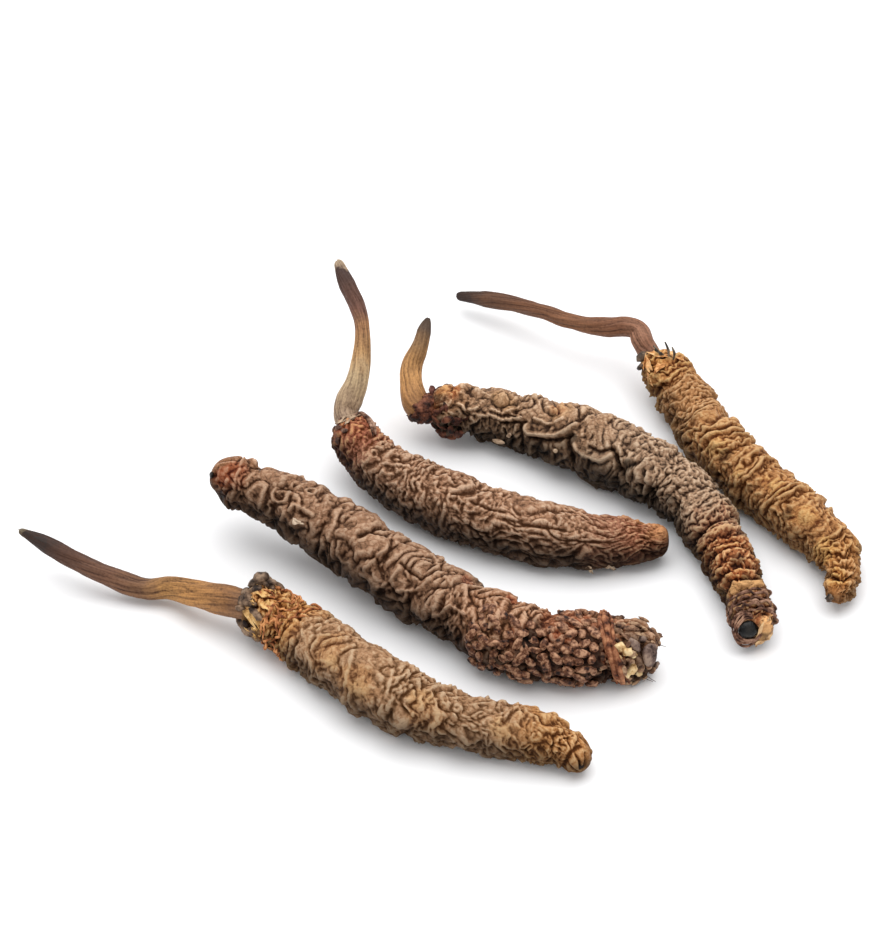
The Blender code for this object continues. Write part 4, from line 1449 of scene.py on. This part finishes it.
# %% The hairs
dice = np.random.default_rng(26)
hairs = []
for _ in range(9):
    point, outwards, axis = seat(broad, dice.uniform(41.5, 43.3), dice.uniform())
    reach = dice.uniform(0.6, 1.1) * (0.6 * outwards + 0.5 * axis + 0.3 * dice.standard_normal(3))
    hairs.append(([point, point + 0.5 * reach, point + reach * np.array([1, 1, 0.8])], 0.03))
hairs = spin_threads("broad_hairs", hairs)
finish(hairs, "broad_husk", "dark bristles", "#2b1d18", "#4a352b", "#6d5245")

# %% [markdown]
# ## The broad and middle husks' heads
# The broad husk's head is closed, with a red facet and a black spot where the stalk is gone, and a small
# pale flake is caught under a fold behind it. The middle husk's head keeps a thin pale collar, with a
# rolled dark edge, and a few dark crumbs beside it.

# %% The broad husk's scar and chip
scar = set_down("broad_spot", broad, [(212, 475, 0.7, 0.55, 0.3)], 31, "bean")
finish(scar, "broad_husk", "black dried scar", "#070504", "#14100e", "#2a211c", 0.4)
chips = cut_flakes("broad_chips", flakes_at(broad, [(293, 521, 303, 523, 0.45, 0.1)]), 32)
finish(chips, "broad_husk", "pale membrane chip", "#a08871", "#c4ab92", "#dcc6ae")

# %% The middle husk's collar
middle = places_on(skins["middle_husk"])
MIDDLE_CLAWS = [
    (351, 409, 345, 424, 1.0, 0.1), (345, 412, 338, 425, 0.8, 0.1), (356, 410, 353, 421, 0.7, 0.1),
    (588, 566, 592, 571, 0.4, 0.2), (607, 566, 613, 570, 0.4, 0.2)]
claws = cut_flakes("middle_claws", flakes_at(middle, MIDDLE_CLAWS), 33)
finish(claws, "middle_husk", "pale dried fungus skin", "#75604e", "#a98f76", "#d3bc9f")
ROLL = ((354, 415), (361, 414), (367, 416), (371, 421), (374, 428), (375, 435))
rolls = []
for shift, radius in ((0, 0.17), (2, 0.12)):
    line = []
    for column, row in ROLL:
        point, outwards, _ = seat(middle, *spot(middle, column - shift, row + shift))
        line.append(point + outwards * 0.10)
    rolls.append((line, radius))
roll = spin_threads("middle_collar", rolls)
finish(roll, "middle_husk", "rolled dried membrane", "#2f1b15", "#70503f", "#a98873")
dice = np.random.default_rng(34)
_, left_turn = spot(middle, 337, 432)
seats = [seat(middle, dice.uniform(0.2, 2.2), left_turn + dice.normal(0, 0.05)) for _ in range(9)]
sizes = random_sizes(dice, len(seats), (0.4, 0.7), (0.3, 0.45), (0.25, 0.4))
crumbs = strew("middle_crumbs", "bean", seats, sizes, 35)
finish(crumbs, "middle_husk", "dark head tissue", "#2a1a14", "#5a4034", "#8a6a58")

# %% [markdown]
# ## The arched husk's ends
# Round the foot of the stalk the tissue is dark red and twisted, and golden only on top. It climbs the
# stalk's elbow too. The tail is cut open: it shows a glossy black gut end in tight rings, and a ragged
# pale flap of skin beside it.

# %% The arched husk's head
arched = places_on(skins["arched_husk"])
dice = np.random.default_rng(41)
_, top_turn = spot(arched, 447, 388)
seats = []
for _ in range(80):
    turns = dice.uniform()
    if abs((turns - top_turn + 0.5) % 1.0 - 0.5) > 0.14:
        seats.append(seat(arched, dice.uniform(0.1, 3.0), turns))

# on the elbow the tissue ends at a line that rises to the right in the picture
TISSUE_EDGE = np.array([-1.32, 0.643, 0.766])
elbow = stalks["arched_stalk"]
elbow_points, elbow_outwards = points_of(elbow), normals_of(elbow)
covered = (elbow_points @ TISSUE_EDGE < 13.2) & (noted(elbow, "along") < 4.5)
for index in dice.choice(np.flatnonzero(covered), 330, replace=False):
    seats.append((elbow_points[index], elbow_outwards[index], np.array([0, 0, 1.0])))
sizes = random_sizes(dice, len(seats), (0.6, 1.3), (0.35, 0.6), (0.35, 0.6))
crumbs = strew("arched_crumbs", "bean", seats, sizes, 42)
finish(crumbs, "arched_husk", "dark red dried tissue", "#1a0b07", "#4a261a", "#85533c", 0.6)
nubs = set_down("arched_nubs", arched, [(429, 390, 0.9, 0.6, 0.7), (425, 394, 0.6, 0.5, 0.5)], 43)
finish(nubs, "arched_husk", "dark dried nubs", "#2a1512", "#54302a", "#7d5247")
leg = set_down("arched_leg", arched, [
    (499, 440, 1.2, 0.45, 0.5), (510, 435, 0.6, 0.4, 0.4), (556, 450, 0.5, 0.4, 0.4)], 44, "bean")
finish(leg, "arched_husk", "pale leg chitin", "#7d6450", "#a98e75", "#cdb294")

# %% The gut end
arched_gut_point, _ = under_pixel(arched["tree"], 748, 629)
OPENING = np.array([0.15, -0.85, 0.50])     # the way that the cut tail faces
OPENING = OPENING / np.linalg.norm(OPENING)
gut_seat = (arched_gut_point, OPENING, np.array([1.0, 0, 0]))
gut = strew("arched_gut", "round", [gut_seat], [(1.75, 1.65, 0.9)], 45, 0.35)
finish(gut, "arched_husk", "glossy dried gut", "#050505", "#111111", "#24221f", 0.22)

# %% The rings round it
RING_POINTS = 18


def ring_of(centre, outwards, radius, lift, seed):
    """A closed, slightly uneven ring of points round a centre."""
    dice = np.random.default_rng(seed)
    side = np.cross(outwards, (0, 0, 1))
    side = side / np.linalg.norm(side)
    top = np.cross(side, outwards)
    line = []
    for number in range(RING_POINTS + 1):
        angle = 2 * math.pi * number / RING_POINTS
        reach = radius * (1 + 0.07 * math.sin(3 * angle + seed) + dice.uniform(-0.05, 0.05))
        line.append(centre + outwards * lift + reach * (math.cos(angle) * side + math.sin(angle) * top))
    return line


# radius, height over the gut's middle, and the ring's own radius
GUT_RINGS = ((0.95, 0.22, 0.09), (1.08, 0.10, 0.11), (1.24, 0.0, 0.10), (1.38, -0.15, 0.11))
SKIN_RINGS = (40.5, 41.0, 41.4, 41.8, 42.2, 42.6)     # millimetres from the head
rings = [(ring_of(arched_gut_point, OPENING, radius, lift, 46 + number), thick)
         for number, (radius, lift, thick) in enumerate(GUT_RINGS)]
dice = np.random.default_rng(48)
for mm in SKIN_RINGS:
    line = []
    for number in range(2 * RING_POINTS + 1):
        point, outwards, _ = seat(arched, mm + dice.uniform(-0.15, 0.15), number / (2 * RING_POINTS))
        line.append(point + outwards * dice.uniform(0.0, 0.14))
    rings.append((line, dice.uniform(0.09, 0.14)))
rings = spin_threads("arched_rings", rings)
finish(rings, "arched_husk", "tight rings of dried skin", "#241009", "#664434", "#a58069")

# %% The flap beside the gut
TAIL_FLAPS = [(763, 642, 767, 618, 1.6, 0.1), (755, 644, 768, 639, 0.9, 0.1)]
flap = cut_flakes("arched_flap", flakes_at(arched, TAIL_FLAPS), 47)
finish(flap, "arched_husk", "pale torn skin", "#6e4c30", "#bb9066", "#dfbc8c")

# %% [markdown]
# ## The rear husk's head
# Golden flakes of the head shield stand up round the stalk, with a few dark leg stumps behind them and
# dark nubs in front. One more nub lies by the tail.

# %% The rear husk's flakes
rear = places_on(skins["rear_husk"])
REAR_FLAKES = [
    (640, 352, 646, 370, 0.8, 0.3), (652, 352, 672, 360, 1.1, 0.35), (645, 360, 654, 372, 0.8, 0.3),
    (662, 364, 656, 376, 0.7, 0.3), (668, 352, 680, 362, 0.8, 0.2), (648, 375, 655, 384, 0.6, 0.3)]
flakes = cut_flakes("rear_flakes", flakes_at(rear, REAR_FLAKES), 51)
finish(flakes, "rear_husk", "golden membrane flakes", "#8a5426", "#d0935a", "#eec48c")

# %% The rear husk's leg stumps and nubs
PRONGS = ((661, 357, (-0.7, 0.5, 0.9)), (668, 357, (-0.3, 0.4, 1.4)),
          (673, 358, (-0.1, 0.3, 1.0)), (664, 356, (-0.9, 0.3, 0.5)))     # a pixel and a reach each
PRONG_BEND = np.array([0.15, -0.1, 0])
prongs = []
for column, row, reach in PRONGS:
    foot, _ = under_pixel(rear["tree"], column, row)
    reach = np.array(reach)
    prongs.append(([foot - 0.2 * reach, foot + 0.5 * reach + PRONG_BEND, foot + reach], 0.13))
prongs = spin_threads("rear_prongs", prongs)
finish(prongs, "rear_husk", "dark leg stumps", "#26231f", "#4d463d", "#857766")
nubs = set_down("rear_nubs", rear, [
    (644, 358, 1.2, 0.8, 0.7), (643, 367, 1.0, 0.6, 0.6), (830, 597, 0.8, 0.7, 0.5)], 52)
finish(nubs, "rear_husk", "dark dried tissue", "#241e1a", "#4a3c32", "#7d6a59")
